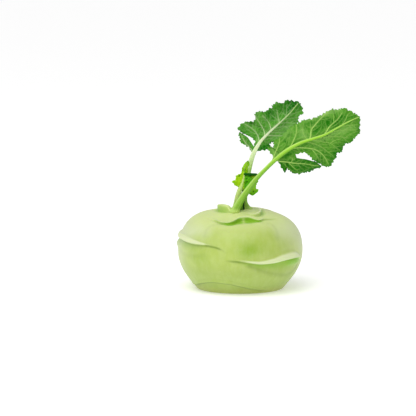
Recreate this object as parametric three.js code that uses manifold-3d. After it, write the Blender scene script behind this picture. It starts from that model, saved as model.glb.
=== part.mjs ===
// Kohlrabi as picked: a swollen stem, the "bulb", with its leaf scars, two grown leaves and the heart of
// young leaves. Millimetres, +Z up, origin at the centre of the flat cut foot. +X is right, -Y is the front.
import * as THREE from 'three';
import { mergeVertices } from 'three/addons/utils/BufferGeometryUtils.js';
import Module from 'manifold-3d';

const wasm = await Module();
wasm.setup();

// ---------------------------------------------------------------- driving dimensions

const FOOT_RADIUS = 29.5; // flat cut the bulb stands on
const FOOT_DEPTH = 0.88; // front to back over side to side, at the foot
const BULB_RADIUS = 45.2; // widest girth
const BULB_HEIGHT = 58.4; // foot to crown
const CROWN_FALL = 0.1; // the front of the crown falls this much per millimetre

const BLADE_THICKNESS = 0.8;
const HEART_THICKNESS = 0.7;
const GAP = 0.3; // left between pieces that grow on each other

const BULB_COLUMNS = 64;
const STEM_SIDES = 14;
const STATION = 1; // spacing that the cross strips of a blade are rounded to
const UNFOLD = 8; // how far along the rib a tie may move on so that the sheet does not fold
const LEAN = 0.2; // how far back the cross strips of a blade start, per millimetre of their length
const RIB_PIECES = 240;

const { smoothstep, lerp, clamp, degToRad } = THREE.MathUtils;
const bell = (x, middle, width) => Math.exp(-(((x - middle) / width) ** 2));
const turn = (azimuth, middle) => ((azimuth - middle + 540) % 360) - 180;

// ---------------------------------------------------------------- small mesh tools

// Closed geometry from points and triangles, with doubled points and empty triangles removed.
function meshFrom(points, triangles) {
  const geometry = new THREE.BufferGeometry();
  geometry.setAttribute('position', new THREE.Float32BufferAttribute(points.flat(), 3));
  geometry.setIndex(triangles.flat());
  const welded = mergeVertices(geometry, 1e-3);
  const index = welded.index.array;
  const kept = [];
  for (let i = 0; i < index.length; i += 3) {
    const [a, b, c] = index.subarray(i, i + 3);
    if (a !== b && b !== c && c !== a) kept.push(a, b, c);
  }
  welded.setIndex(kept);
  return welded;
}

// Skin over rings of points that lie one after the other, closed at both ends by a middle point.
function skinOver(rings, first, last) {
  const sides = rings[0].length;
  const points = [first, ...rings.flat(), last];
  const triangles = [];
  const at = (row, side) => 1 + row * sides + (side % sides);
  for (let side = 0; side < sides; side += 1) {
    triangles.push([0, at(0, side + 1), at(0, side)]);
    for (let row = 0; row + 1 < rings.length; row += 1) {
      triangles.push([at(row, side), at(row, side + 1), at(row + 1, side + 1)]);
      triangles.push([at(row, side), at(row + 1, side + 1), at(row + 1, side)]);
    }
    triangles.push([points.length - 1, at(rings.length - 1, side), at(rings.length - 1, side + 1)]);
  }
  return meshFrom(points, triangles);
}

function solidOf(geometry) {
  const vertProperties = new Float32Array(geometry.attributes.position.array);
  const triVerts = new Uint32Array(geometry.index.array);
  return new wasm.Manifold(new wasm.Mesh({ numProp: 3, vertProperties, triVerts }));
}

function geometryOf(solid) {
  const { vertProperties, triVerts } = solid.getMesh();
  const geometry = new THREE.BufferGeometry();
  geometry.setAttribute('position', new THREE.Float32BufferAttribute(Array.from(vertProperties), 3));
  geometry.setIndex(Array.from(triVerts));
  return geometry;
}

// ---------------------------------------------------------------- bulb

// Half section of the bulb from the rim of the foot to the crown: radius and height.
const SECTION = new THREE.SplineCurve([
  [FOOT_RADIUS, 0], [31.2, 0.5], [32.9, 2.3], [35.2, 5.2], [38.2, 9], [41.2, 13.6], [43.4, 18.3],
  [44.8, 23.2], [BULB_RADIUS, 28.5], [44.9, 33.5], [43.9, 38.3], [42, 42.8], [39.2, 46.8], [35.4, 50.2],
  [30.6, 53], [24.8, 55.2], [18, 56.9], [10, 58], [0, BULB_HEIGHT],
].map(([r, z]) => new THREE.Vector2(r, z)));
const SKIN = SECTION.getLength();

// Rings of leaf scars from the foot to the crown. A station of a ring gives, at its azimuth in degrees from
// the front towards the right, the height of the scar's edge in millimetres of skin above the foot, the width
// and lift of the lip over that edge, and the drop and cut of the face under it.
const FOOT_RING = [
  [-168, 11.5, 3, 0.7, 6, 1], [-145, 8.5, 2.5, 0.4, 4, 0.5], [-122, 7, 2.5, 0, 3, 0],
  [-92, 6, 2.5, 0, 3, 0], [-80, 6.2, 2.5, 0.4, 4, 0.4], [-67, 7.4, 2.5, 0.6, 5, 0.8],
  [-44, 11.4, 3, 0.8, 6, 1.1], [-30, 13.2, 3, 0.8, 7, 1.1], [-13, 12.4, 3, 0.8, 7, 1.1],
  [-4, 10.8, 3, 0.8, 6, 1], [6, 8.6, 2.8, 0.7, 5, 0.9], [17, 6.4, 2.5, 0.5, 4, 0.7],
  [28, 5, 2.5, 0.3, 3, 0.3], [42, 4.5, 2, 0, 3, 0], [100, 7, 2, 0, 3, 0], [126, 9, 3, 0.6, 4, 0.8],
  [152, 12, 3, 0.8, 6, 1],
];
const RIGHT_RING = [
  [-176, 29.6, 3.4, 1.8, 7, 0.6], [-165, 30.4, 2.6, 1.4, 5, 0.3], [-156, 30.4, 1.6, 0, 4, 0],
  [-60, 31.4, 1.2, 0, 3, 0], [-16, 32.6, 1.2, 0, 3, 0], [-4, 32.1, 1.2, 0.2, 3, 0.2],
  [2, 31.6, 1.3, 0.5, 4, 0.4], [10, 30.6, 1.6, 0.8, 5, 0.6], [20, 29.7, 2.2, 1.2, 6, 0.8],
  [30, 29.9, 3.2, 1.6, 8, 0.9], [42, 30.9, 4.2, 2, 11, 0.9], [53, 31.3, 4.4, 2.2, 12, 0.8],
  [62, 31.2, 4, 1.9, 11, 0.6], [69, 30.2, 2.6, 1.1, 8, 0.4], [75, 29.4, 2, 0.2, 5, 0],
  [84, 29.4, 1.6, 0, 4, 0], [120, 29, 1.3, 0, 4, 0], [138, 28, 1.8, 0.8, 6, 0.6],
  [160, 27.8, 3, 1.5, 8, 0.8],
];
const LEFT_RING = [
  [-150, 45, 1.5, 0, 4, 0], [-130, 44.2, 2.2, 0.5, 6, 0.4], [-114, 43.6, 3.2, 1.4, 8, 0.8],
  [-92, 43.4, 3.6, 1.5, 9, 0.5], [-76, 43.4, 3.6, 1.7, 9, 0.7], [-60, 42.6, 3.8, 1.9, 8, 0.9],
  [-47, 42.2, 2.8, 1.5, 6, 0.7], [-37, 42.3, 1.6, 0.9, 4, 0.5], [-33, 42.4, 1.2, 0.4, 3, 0.4],
  [-28, 42.1, 1.2, 0.2, 2, 0.3], [-21, 41.1, 1.2, 0.2, 2, 0.3], [-18, 40.3, 1.2, 0.1, 3, 0.1],
  [-11, 37.4, 1.2, 0, 3, 0], [4, 37.5, 1.2, 0, 3, 0], [50, 41.5, 1.2, 0, 3, 0],
  [108, 47, 1.2, 0, 4, 0], [124, 49, 2, 0.9, 7, 0.8], [142, 50.5, 3, 1.5, 8, 0.9],
  [160, 50.5, 3, 1.5, 7, 0.9], [176, 48.5, 1.8, 0.6, 4, 0.5],
];
const FRONT_RING = [
  [-178, 70.5, 1.5, 0.8, 8, 1.8], [-160, 67.5, 1.5, 0.6, 4, 0.8], [-140, 66.5, 1.2, 0, 3, 0],
  [-70, 67, 1.2, 0, 3, 0], [-48, 68, 1.3, 0.2, 3, 0.2], [-38, 67.4, 1.4, 0.5, 3, 0.5],
  [-27, 66.2, 1.4, 0.6, 3.5, 1], [-19, 66.6, 1.3, 0.6, 5, 1.4], [-12, 69, 1.3, 0.6, 8, 1.9],
  [-6, 73, 1.2, 0.5, 11, 2.6], [0, 74.8, 1.2, 0.5, 12.5, 2.8], [8, 75.4, 1.2, 0.5, 13, 2.8],
  [16, 75, 1.2, 0.5, 12.5, 2.8], [21, 73, 1.2, 0.6, 9, 2.2], [25, 70.6, 1.3, 0.6, 6, 1.4],
  [31, 69, 1.3, 0.6, 3.5, 1], [42, 70, 1.3, 0.5, 3, 0.5], [55, 68.4, 1.2, 0.3, 3, 0.2],
  [72, 66.5, 1.2, 0, 3, 0], [112, 66.5, 1.2, 0, 3, 0], [130, 68, 1.4, 0.6, 5, 1.1],
  [148, 71.5, 1.4, 0.7, 9, 2.2], [165, 73, 1.4, 0.7, 10, 2.4],
];
const CROWN_RING = [
  [-170, 80, 1.5, 0, 3, 0], [-128, 79, 2, 0.1, 3, 0], [-112, 78.6, 3.4, 1.4, 4, 0.4],
  [-100, 79.2, 4.4, 3.6, 4.5, 0.6], [-80, 81.2, 5, 4.8, 4.5, 0.6], [-60, 83, 4.6, 4.6, 4.5, 0.6],
  [-49, 84, 4, 3.4, 4, 0.5], [-40, 84, 3, 1.2, 3, 0.2], [-30, 83.6, 2, 0, 3, 0], [0, 83, 1.5, 0, 3, 0],
  [24, 80.2, 1.6, 0.2, 3, 0.2], [38, 77.6, 1.8, 1.2, 4, 0.8], [55, 78.2, 2, 1.6, 5, 1.2],
  [75, 80, 2, 1.6, 5, 1.2], [95, 81.2, 1.9, 1.3, 4.5, 1], [115, 80.5, 1.8, 0.7, 4, 0.5],
  [135, 80, 1.5, 0, 3, 0],
];
const RINGS = [FOOT_RING, RIGHT_RING, LEFT_RING, FRONT_RING, CROWN_RING];

// Torn ends of leaf bases that were left standing: azimuth, skin, half width, half height and lift.
const STUBS = [[60, 28.6, 12, 2.6, 0.9], [-172, 27.6, 9, 1.9, 0.8]];

// Values of a ring at an azimuth, on smooth curves that don't overshoot their stations.
function ringAt(ring, azimuth) {
  const count = ring.length;
  const station = (i) => {
    const lap = Math.floor(i / count);
    const [place, ...values] = ring[i - lap * count];
    return [place + 360 * lap, ...values];
  };
  const after = ring.findIndex(([place]) => place > azimuth);
  const first = after < 0 ? count - 1 : after - 1;
  const [before, start, end, next] = [-1, 0, 1, 2].map((step) => station(first + step));
  const gap = end[0] - start[0];
  const share = (azimuth - start[0]) / gap;
  const slope = (from, to, column) => (to[column] - from[column]) / (to[0] - from[0]);
  const rise = (a, b) => (a * b > 0 ? (2 * a * b) / (a + b) : 0);
  return [1, 2, 3, 4, 5].map((column) => {
    const middle = slope(start, end, column);
    const leave = rise(slope(before, start, column), middle);
    const arrive = rise(middle, slope(end, next, column));
    const bent = share * (1 - share) * ((1 - share) * leave - share * arrive) * gap;
    return lerp(start[column], end[column], share ** 2 * (3 - 2 * share)) + bent;
  });
}

// Height of the scars and of the soft swellings between them over the plain half section.
function relief(azimuth, skin) {
  let height = 0;
  RINGS.forEach((ring) => {
    const [edge, width, lift, drop, cut] = ringAt(ring, azimuth);
    const above = skin - edge;
    const step = smoothstep(above, -0.5, 0.3);
    const lip = step * (1 - smoothstep(above, 0.5 * width, 1.25 * width));
    const groove = bell(above, 1.5 * width, 0.4 * width);
    const face = (1 - step) * (1 - smoothstep(-above, 0.2 * drop, drop));
    height += lift * (lip - 0.12 * groove) - cut * face;
  });
  STUBS.forEach(([middle, skinOf, halfWidth, halfHeight, lift]) => {
    const sideways = (turn(azimuth, middle) / halfWidth) ** 4;
    height += lift * Math.exp(-sideways - ((skin - skinOf) / halfHeight) ** 4);
  });
  const belly = Math.sin((Math.PI * skin) / SKIN) ** 2;
  const cheeks = 0.5 * Math.sin(degToRad(3 * azimuth + 70)) + 0.4 * Math.sin(degToRad(5 * azimuth + 10));
  const shoulder = 0.9 * bell(turn(azimuth, -95), 0, 50) * bell(skin, 62, 10);
  return (height + cheeks * belly + shoulder) * smoothstep(skin, 0.2, 3);
}

function bulbPoint(azimuth, skin) {
  const along = clamp(skin / SKIN, 0, 1);
  const middle = SECTION.getPointAt(along);
  const forward = SECTION.getTangentAt(along);
  const height = relief(azimuth, skin) * (1 - smoothstep(skin, SKIN - 8, SKIN));
  const radius = middle.x + height * forward.y;
  const x = radius * Math.sin(degToRad(azimuth));
  const y = -radius * Math.cos(degToRad(azimuth)) * lerp(FOOT_DEPTH, 1, smoothstep(skin, 0, 22));
  const fall = CROWN_FALL * 0.5 * (Math.hypot(y, 10) - y) * smoothstep(skin, 45, 75);
  return [x, y, middle.y - height * forward.x - fall];
}

// Height of the crown over a point of the plan.
function crownHeight(x, y) {
  const radius = Math.hypot(x, y);
  const azimuth = (Math.atan2(x, -y) * 180) / Math.PI;
  let low = 60;
  let high = SKIN;
  for (let step = 0; step < 24; step += 1) {
    const middle = (low + high) / 2;
    const [px, py] = bulbPoint(azimuth, middle);
    if (Math.hypot(px, py) > radius) low = middle;
    else high = middle;
  }
  return bulbPoint(azimuth, low)[2];
}

// Rows of the skin follow the scars: seven run along each edge, and plain rows fill the space between.
function skinRows(azimuth) {
  const rows = [0, 1, 2];
  const fillers = [0, 2, 1, 3, 0];
  RINGS.forEach((ring, number) => {
    const [edge, width, lift, drop, cut] = ringAt(ring, azimuth);
    const shown = smoothstep(lift + Math.abs(cut), 0, 1);
    const down = lerp(1.8, drop, shown);
    const up = lerp(1.5, 1.35 * width, shown);
    const band = [-down, -0.55 * down, -0.25 * down - 0.4, -0.5, 0.3, 0.5 * up + 0.2, up + 0.4];
    const last = rows[rows.length - 1];
    for (let fill = 1; fill <= fillers[number]; fill += 1) {
      rows.push(lerp(last, edge + band[0], fill / (fillers[number] + 1)));
    }
    rows.push(...band.map((offset) => edge + offset));
  });
  const last = rows[rows.length - 1];
  for (let fill = 1; fill <= 3; fill += 1) rows.push(lerp(last, SKIN, fill / 3.6));
  return rows;
}

function bulb() {
  const columns = [];
  for (let column = 0; column < BULB_COLUMNS; column += 1) {
    const azimuth = (360 * column) / BULB_COLUMNS - 180;
    columns.push(skinRows(azimuth).map((skin) => bulbPoint(azimuth, skin)));
  }
  const rings = columns[0].map((_, row) => columns.map((column) => column[row]));
  const innerFoot = rings[0].map(([x, y]) => [x / 2, y / 2, 0]);
  return skinOver([innerFoot, ...rings], [0, 0, 0], bulbPoint(0, SKIN));
}

// ---------------------------------------------------------------- stalks and midribs

// A stalk runs on into the midrib. Its spine is a list of x, y, z and half width, from the crown to the tip.
function spineOf(list) {
  const places = list.map(([x, y, z]) => new THREE.Vector3(x, y, z));
  const path = new THREE.CatmullRomCurve3(places, false, 'centripetal');
  const widths = new THREE.CatmullRomCurve3(list.map((entry, i) => new THREE.Vector3(entry[3], i, 0)));
  return { path, halfWidth: (t) => widths.getPoint(t).x };
}

// flatness(t) is the depth of the section over its width, groove(t) the depth of the channel on its front.
function stem({ path, halfWidth }, rows, flatness, groove) {
  const up = new THREE.Vector3(0, 0, 1);
  const rings = [];
  for (let row = 0; row <= rows; row += 1) {
    const t = row / rows;
    const centre = path.getPoint(t);
    const forward = up.clone().lerp(path.getTangent(t), smoothstep(t, 0, 0.08)).normalize();
    const front = new THREE.Vector3(0, -1, 0).addScaledVector(forward, forward.y).normalize();
    const side = new THREE.Vector3().crossVectors(front, forward).normalize();
    const width = halfWidth(t);
    const ring = [];
    for (let step = 0; step < STEM_SIDES; step += 1) {
      const angle = (2 * Math.PI * step) / STEM_SIDES;
      const channel = Math.sin(angle) > 0 ? 1 - groove(t) * bell(Math.cos(angle), 0, 0.45) : 1;
      const point = centre.clone()
        .addScaledVector(side, width * Math.cos(angle))
        .addScaledVector(front, width * flatness(t) * Math.sin(angle) * channel);
      if (row === 0) point.z = crownHeight(point.x, point.y) + GAP;
      ring.push(point.toArray());
    }
    rings.push(ring);
  }
  const start = path.getPoint(0);
  start.z = crownHeight(start.x, start.y) + GAP;
  const tip = path.getPoint(1).addScaledVector(path.getTangent(1), halfWidth(1));
  return skinOver(rings, start.toArray(), tip.toArray());
}

// ---------------------------------------------------------------- blades

// Blades are laid out in plan, on X and Z. Gives each place of a line its run along the line in plan.
function withRuns(line) {
  let run = 0;
  return line.map((place, i) => {
    if (i > 0) run += Math.hypot(place.x - line[i - 1].x, place.z - line[i - 1].z);
    return { ...place, run };
  });
}

// Rib of a blade: the spine from the share t = from to its tip.
function ribOf(curve, from) {
  return withRuns(Array.from({ length: RIB_PIECES + 1 }, (_, i) => {
    const t = lerp(from, 1, i / RIB_PIECES);
    const { x, y, z } = curve.getPoint(t);
    return { x, y, z, t };
  }));
}

// Nearest place on the rib to a point of the plan: its run along the rib, depth and distance.
function nearest(rib, x, z) {
  let best = { distance: Infinity };
  for (let i = 0; i + 1 < rib.length; i += 1) {
    const [a, b] = [rib[i], rib[i + 1]];
    const [dx, dz] = [b.x - a.x, b.z - a.z];
    const share = clamp(((x - a.x) * dx + (z - a.z) * dz) / (dx * dx + dz * dz), 0, 1);
    const distance = Math.hypot(x - a.x - share * dx, z - a.z - share * dz);
    if (distance < best.distance) {
      const hand = Math.sign((x - a.x) * dz - (z - a.z) * dx);
      const [run, y, t] = ['run', 'y', 't'].map((key) => lerp(a[key], b[key], share));
      best = { distance, hand, run, y, t };
    }
  }
  return best;
}

function placeAt(rib, run) {
  const wanted = clamp(run, 0, rib[rib.length - 1].run);
  const after = Math.max(1, rib.findIndex((sample) => sample.run >= wanted));
  const [a, b] = [rib[after - 1], rib[after]];
  const share = (wanted - a.run) / (b.run - a.run);
  return [lerp(a.x, b.x, share), lerp(a.z, b.z, share)];
}

// Whether a sheet hung from one place of its rib turns back over itself between two points of its margin.
function folds([x, z], from, to, hand) {
  return hand * ((from[0] - x) * (to[1] - z) - (from[1] - z) * (to[0] - x)) < 0;
}

// Every margin point is tied to the rib a little behind the nearest place, as side veins are, and the last
// one to the rib's tip. Where the margin turns back, the tie moves on along the rib until the sheet lies
// without a fold. Without stations to keep to, the places along the rib are rounded.
function tie(rib, margin, lean, stations) {
  const full = rib[rib.length - 1].run;
  const steps = Array.from({ length: Math.ceil(UNFOLD / STATION) }, (_, step) => step * STATION);
  const { hand } = nearest(rib, ...margin[Math.floor(margin.length / 2)]);
  let last = 0;
  return margin.map(([x, z], i) => {
    const { run, distance } = nearest(rib, x, z);
    const wanted = Math.max(last, run - lean * distance);
    last = stations
      ? stations.reduce((best, place) => (Math.abs(place - wanted) < Math.abs(best - wanted) ? place : best))
      : Math.min(Math.round(wanted / STATION) * STATION, full);
    if (i > 0 && !stations) {
      const flat = steps.find((step) => !folds(placeAt(rib, last + step), margin[i - 1], [x, z], hand));
      last = Math.min(last + (flat ?? 0), full);
    }
    if (i === margin.length - 1) last = full;
    return { run: last, end: [x, z] };
  });
}

// Adds the stations that only the other side of the rib has, so that both sides share the rib's points.
function withStations(ties, stations) {
  const columns = [];
  ties.forEach((entry, i) => {
    columns.push(entry);
    const next = ties[i + 1];
    if (!next) return;
    stations.filter((run) => run > entry.run && run < next.run).forEach((run) => {
      const share = (run - entry.run) / (next.run - entry.run);
      columns.push({ run, end: [0, 1].map((axis) => lerp(entry.end[axis], next.end[axis], share)) });
    });
  });
  return columns;
}

// Strip of the sheet between the rib and one margin, as a grid of plan points [x, z, lift].
function strip(rib, columns, rows, lift) {
  return columns.map(({ run, end }) => {
    const start = placeAt(rib, run);
    return Array.from({ length: rows + 1 }, (_, row) => {
      const share = row / rows;
      const [x, z] = [lerp(start[0], end[0], share), lerp(start[1], end[1], share)];
      return [x, z, lift(run, share)];
    });
  });
}

// Sheet of the given thickness through grids of plan points: equal triangles on both faces and a rim.
function blade(grids, depth, thickness) {
  const points = [];
  const triangles = [];
  grids.forEach(({ grid, mirrored }) => {
    const first = points.length;
    const across = grid[0].length;
    grid.flat().forEach(([x, z, lift]) => points.push([x, depth(x, z) + lift, z]));
    for (let i = 0; i + 1 < grid.length; i += 1) {
      for (let j = 0; j + 1 < across; j += 1) {
        const [a, b] = [first + i * across + j, first + (i + 1) * across + j];
        const faces = [[a, b, b + 1], [a, b + 1, a + 1]];
        triangles.push(...faces.map(([p, q, r]) => (mirrored ? [p, r, q] : [p, q, r])));
      }
    }
  });
  const sheet = meshFrom(points, triangles);
  sheet.computeVertexNormals();
  const count = sheet.attributes.position.count;
  const shell = [];
  [0.5, -0.5].forEach((side) => {
    for (let i = 0; i < count; i += 1) {
      const point = new THREE.Vector3().fromBufferAttribute(sheet.attributes.position, i);
      const normal = new THREE.Vector3().fromBufferAttribute(sheet.attributes.normal, i);
      shell.push(point.addScaledVector(normal, side * thickness).toArray());
    }
  });
  const index = Array.from(sheet.index.array);
  const edges = new Set();
  const closed = [];
  for (let i = 0; i < index.length; i += 3) {
    const [a, b, c] = index.slice(i, i + 3);
    closed.push([a, b, c], [count + a, count + c, count + b]);
    [[a, b], [b, c], [c, a]].forEach(([p, q]) => edges.add(`${p} ${q}`));
  }
  edges.forEach((edge) => {
    const [p, q] = edge.split(' ').map(Number);
    if (!edges.has(`${q} ${p}`)) closed.push([p, count + q, q], [p, count + p, count + q]);
  });
  const geometry = new THREE.BufferGeometry();
  geometry.setAttribute('position', new THREE.Float32BufferAttribute(shell.flat(), 3));
  geometry.setIndex(closed.flat());
  return geometry;
}

const stationsOf = (sides) => [...new Set(sides.flat().map(({ run }) => run))].sort((a, b) => a - b);

// Grids of a blade with plain margins on both sides of its rib.
function plainGrids(rib, left, right, rows) {
  const sides = [tie(rib, left, LEAN), tie(rib, right, LEAN)];
  const stations = stationsOf(sides);
  return sides.map((ties, i) => ({
    grid: strip(rib, withStations(ties, stations), rows, () => 0),
    mirrored: i === 1,
  }));
}

// Grids of a blade whose second side has a lobe of its own at the base, cut off by a deep notch.
// The lobe hangs from its own vein, and is lifted out of the blade's plane towards its tip.
function lobedGrids(rib, whole, main, lobe, rows) {
  const sides = [tie(rib, whole, LEAN), tie(rib, main, LEAN)];
  const stations = stationsOf(sides);
  const mainGrid = strip(rib, withStations(sides[1], stations), rows, () => 0);
  const root = stations.filter((run) => run < sides[1][0].run).map((run) => placeAt(rib, run));
  const vein = withRuns(lobe.vein.map(([x, z]) => ({ x, y: 0, z, t: 0 })));
  const inner = [...root, ...mainGrid[0].map(([x, z]) => [x, z]), ...lobe.notch];
  const innerTies = tie(vein, inner, 0);
  const lobeStations = stationsOf([innerTies]);
  const outerTies = tie(vein, lobe.margin, 0, lobeStations);
  const length = vein[vein.length - 1].run;
  const lift = (run) => lobe.lift * smoothstep(run, lobe.free * length, length);
  return [
    { grid: strip(rib, withStations(sides[0], stations), rows, () => 0), mirrored: false },
    { grid: mainGrid, mirrored: true },
    { grid: strip(vein, innerTies, rows, lift), mirrored: false },
    { grid: strip(vein, withStations(outerTies, lobeStations), rows, lift), mirrored: true },
  ];
}

// Depth of a blade behind its rib: arched across, and waved towards the margin, fully at 18 mm from the rib.
function bladeDepth(rib, behind, camber, wave) {
  return (x, z) => {
    const { distance, run, hand, y, t } = nearest(rib, x, z);
    const frill = Math.sin((2 * Math.PI * run) / wave.length + wave.phase + hand);
    return y + behind(t) + camber * distance ** 2 + wave.height * smoothstep(distance, 3, 18) * frill;
  };
}

// ---------------------------------------------------------------- front leaf, its under side to the front

const frontSpine = spineOf([
  [-4, -8.6, 57.5, 2.9], [-1, -9, 63, 2.6], [2.6, -9.4, 68.8, 2.35], [6.8, -10, 74.9, 2.1],
  [11.1, -10.8, 80.8, 1.7], [17.7, -11.8, 88, 1.45], [24.9, -13, 95.2, 1.5], [33, -14.2, 102, 1.5],
  [42.9, -15.4, 107.7, 1.25], [52, -16.6, 111, 1], [60.2, -17.8, 114, 0.85], [68.9, -19.2, 119, 0.7],
  [77.6, -20.8, 124, 0.5], [84, -22, 127, 0.35],
]);
const frontFlatness = (t) => lerp(0.95, 0.85, t);
const frontRib = ribOf(frontSpine.path, 6 / 13);
const frontBehind = (t) => frontSpine.halfWidth(t) * frontFlatness(t) + GAP + BLADE_THICKNESS;

const FRONT_UPPER = [
  [24.4, 95.3], [23.4, 97.6], [19.7, 102], [20, 103.9], [24.1, 104.2], [23.7, 107.5], [25.5, 108.9],
  [29.1, 111.9], [32.1, 114.8], [34.1, 116.3], [36.4, 119.3], [40.6, 121], [45.7, 124.2], [48.3, 124],
  [53.6, 125.4], [59, 128.6], [63.4, 131.6], [65.9, 132.1], [67, 131.3], [70.1, 132.2], [74.1, 133.5],
  [76.7, 131.7], [81.2, 129.6], [85, 127.4],
];
const FRONT_LOWER = [
  [39.5, 99.2], [42.1, 99.6], [45.5, 100.7], [48.2, 99.6], [50.6, 96.9], [52.1, 94.8], [56.2, 92.8],
  [59.6, 90.1], [60.9, 89], [64.7, 89.5], [67.3, 94.3], [69.1, 96.5], [68.6, 98.2], [69, 100], [73.1, 101.3],
  [72.9, 105], [74.4, 105.2], [74.4, 107.3], [76.8, 107], [79.8, 108.3], [80.7, 110.5], [83.7, 113.1],
  [85.6, 115.8], [84.5, 118.4], [85.4, 121.4], [85, 127.4],
];
const FRONT_LOBE = {
  vein: [[24.8, 95.2], [28, 93.8], [34.3, 93], [45.1, 91.4], [58.2, 89.9]],
  notch: [[39.9, 96.5], [43, 95.8], [48.2, 94.8], [53.9, 93.4], [58.2, 89.9]],
  margin: [
    [27.3, 94], [28.4, 92.2], [29.5, 89], [31.7, 85.4], [33.9, 88.6], [36.9, 85.6], [42.2, 84.2], [46, 84.9],
    [50.8, 85.4], [53.4, 87.3], [58.2, 88.6], [58.2, 89.9],
  ],
  lift: 2.5,
  free: 0.5,
};

// ---------------------------------------------------------------- back leaf, its upper side to the front

const backSpine = spineOf([
  [4.4, 3, 57.5, 2.9], [3.3, 3.6, 62.5, 2], [3.9, 4.4, 69, 1.7], [4.8, 5.4, 78.1, 1.65],
  [6.2, 6.4, 84.3, 1.75], [7.5, 7.2, 90.3, 1.8], [9.4, 7.8, 96.4, 1.7], [12.2, 8.2, 102, 1.4],
  [15.5, 8.6, 106.8, 1.05], [21.5, 9.2, 113, 0.75], [29.1, 10, 119.8, 0.55], [36, 10.8, 126.4, 0.45],
  [42, 11.6, 133.4, 0.35],
]);
const backFlatness = (t) => lerp(0.9, 0.5, smoothstep(t, 0.4, 0.6));
const backRib = ribOf(backSpine.path, 6 / 12);
const backBehind = (t) => backSpine.halfWidth(t) * backFlatness(t) + GAP + BLADE_THICKNESS;

const BACK_RIGHT = [
  [12.7, 98.9], [14.4, 99.3], [18, 99.6], [21.8, 100.4], [22.4, 102], [21, 104], [23.4, 105.6], [27.2, 105.9],
  [31.8, 108.8], [36.1, 112.4], [39.7, 116.1], [41.4, 119], [42.6, 120.8], [42.2, 122.2], [42.6, 124.1],
  [45.4, 126.3], [45.3, 129.3], [44, 132.8], [42.1, 135],
];
const BACK_LEFT = [
  [10, 102.4], [10.7, 105.8], [9.8, 107.5], [6, 110.6], [3.2, 111.7], [0.1, 113.6], [-1.6, 116.2],
  [-0.1, 118.2], [1.3, 119.7], [3.5, 120.4], [9.7, 120.4], [10.7, 122.2], [10.4, 126.2], [11.9, 127.7],
  [12.9, 128.4],
  [18.7, 127.3], [20.8, 129.9], [23, 129.9], [23, 132.1], [25.9, 134.7], [27.3, 133.5], [29.2, 134.2],
  [31.4, 134.2], [33.5, 136.1], [35.3, 135.4], [37.3, 135.8], [38.5, 134.7], [39.9, 135.4], [42.1, 135],
];
const BACK_LOBE = {
  vein: [[9.2, 96.4], [7.6, 100.8], [4.4, 104.4], [2, 108.4], [0, 113.2]],
  notch: [[8.8, 104.2], [7.2, 106.6], [5.6, 109.1], [3.6, 110.7], [0, 113.2]],
  margin: [
    [8.1, 98.4], [7.4, 99.9], [6, 101.8], [2.8, 103.6], [-0.1, 106.3], [0, 109.2], [-1.2, 111.5],
    [-0.7, 113], [0, 113.2],
  ],
  lift: -2.2,
  free: 0.5,
};

// ---------------------------------------------------------------- the heart of young leaves

const HEART_LEAVES = [
  {
    name: 'heart_leaf_left',
    color: '#9cc42a',
    spine: [
      [-3.4, 1.6, 57.5, 2], [-2.8, 0.4, 62, 1.7], [-1.8, -1.2, 67, 1.8], [-0.2, -2.2, 72, 1.8],
      [1.5, -2.6, 77, 1], [2.6, -2.8, 81.3, 0.6], [2.9, -2.8, 84.4, 0.15],
    ],
    from: 3,
    left: [
      [-0.6, 72.7], [-1.4, 74.4], [-4.6, 76.6], [-6.2, 78.4], [-3.4, 79.6], [-3.2, 82.4], [-1.4, 83.6],
      [0.4, 84], [1.6, 85.6], [3, 85.6],
    ],
    right: [
      [0.6, 72.2], [3.7, 72.4], [6.4, 75.4], [9, 78.8], [12.2, 81.6], [12.5, 83.6], [9.6, 84.3],
      [6.4, 84.4], [4.6, 84.7], [3, 85.6],
    ],
    camber: -0.03,
    wave: { height: 0.8, length: 6, phase: 0.4 },
  },
  {
    name: 'heart_leaf_top',
    color: '#86bb1e',
    spine: [
      [2, -0.9, 57.5, 0.85], [2.3, -1, 63, 0.9], [2.4, -0.5, 70, 0.9], [1.9, 0, 78, 0.85],
      [1.9, 0.1, 82.5, 0.8], [3.2, -0.4, 87, 0.55], [5.4, -0.6, 92.6, 0.15],
    ],
    from: 4,
    left: [[1.6, 82.5], [0.9, 85.2], [1.4, 88.2], [2.8, 90.6], [4.4, 92.4], [5.7, 93.4]],
    right: [[2.3, 82.4], [5.2, 83], [5.6, 86], [5.6, 88.6], [6.8, 90.3], [6.6, 91.6], [5.7, 93.4]],
    camber: 0.04,
    wave: { height: 0.4, length: 5, phase: 0 },
  },
  {
    name: 'heart_leaf_right',
    color: '#5a9d17',
    spine: [
      [0.1, -2.6, 57.5, 1.2], [1.1, -3.2, 63, 1], [3.4, -3.6, 68.6, 1], [6.6, -3, 72.4, 0.9],
      [9, -2, 77, 0.6], [10.6, -1.2, 80.6, 0.15],
    ],
    from: 3,
    left: [[6.4, 73], [7.6, 76.2], [8.8, 79.4], [9.8, 81], [11, 82]],
    right: [
      [6.3, 71.5], [6.6, 69.2], [8, 68], [10.2, 68.6], [12.4, 70.6], [13.4, 72.4], [11.2, 73.6],
      [11.8, 76], [12.9, 78.2], [12.2, 80.6], [11, 82],
    ],
    camber: -0.02,
    wave: { height: 0.5, length: 6, phase: 1 },
  },
];

// A young leaf is its stalk and blade in one. The blade starts at the spine's place number from.
function heartLeaf({ spine, from, left, right, camber, wave }) {
  const curve = spineOf(spine);
  const stalk = stem(curve, 18, () => 0.9, () => 0);
  const rib = ribOf(curve.path, from / (spine.length - 1));
  const grids = plainGrids(rib, left, right, 4);
  const sheet = blade(grids, bladeDepth(rib, () => 0, camber, wave), HEART_THICKNESS);
  return geometryOf(solidOf(stalk).add(solidOf(sheet)));
}

// ---------------------------------------------------------------- the whole kohlrabi

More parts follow.
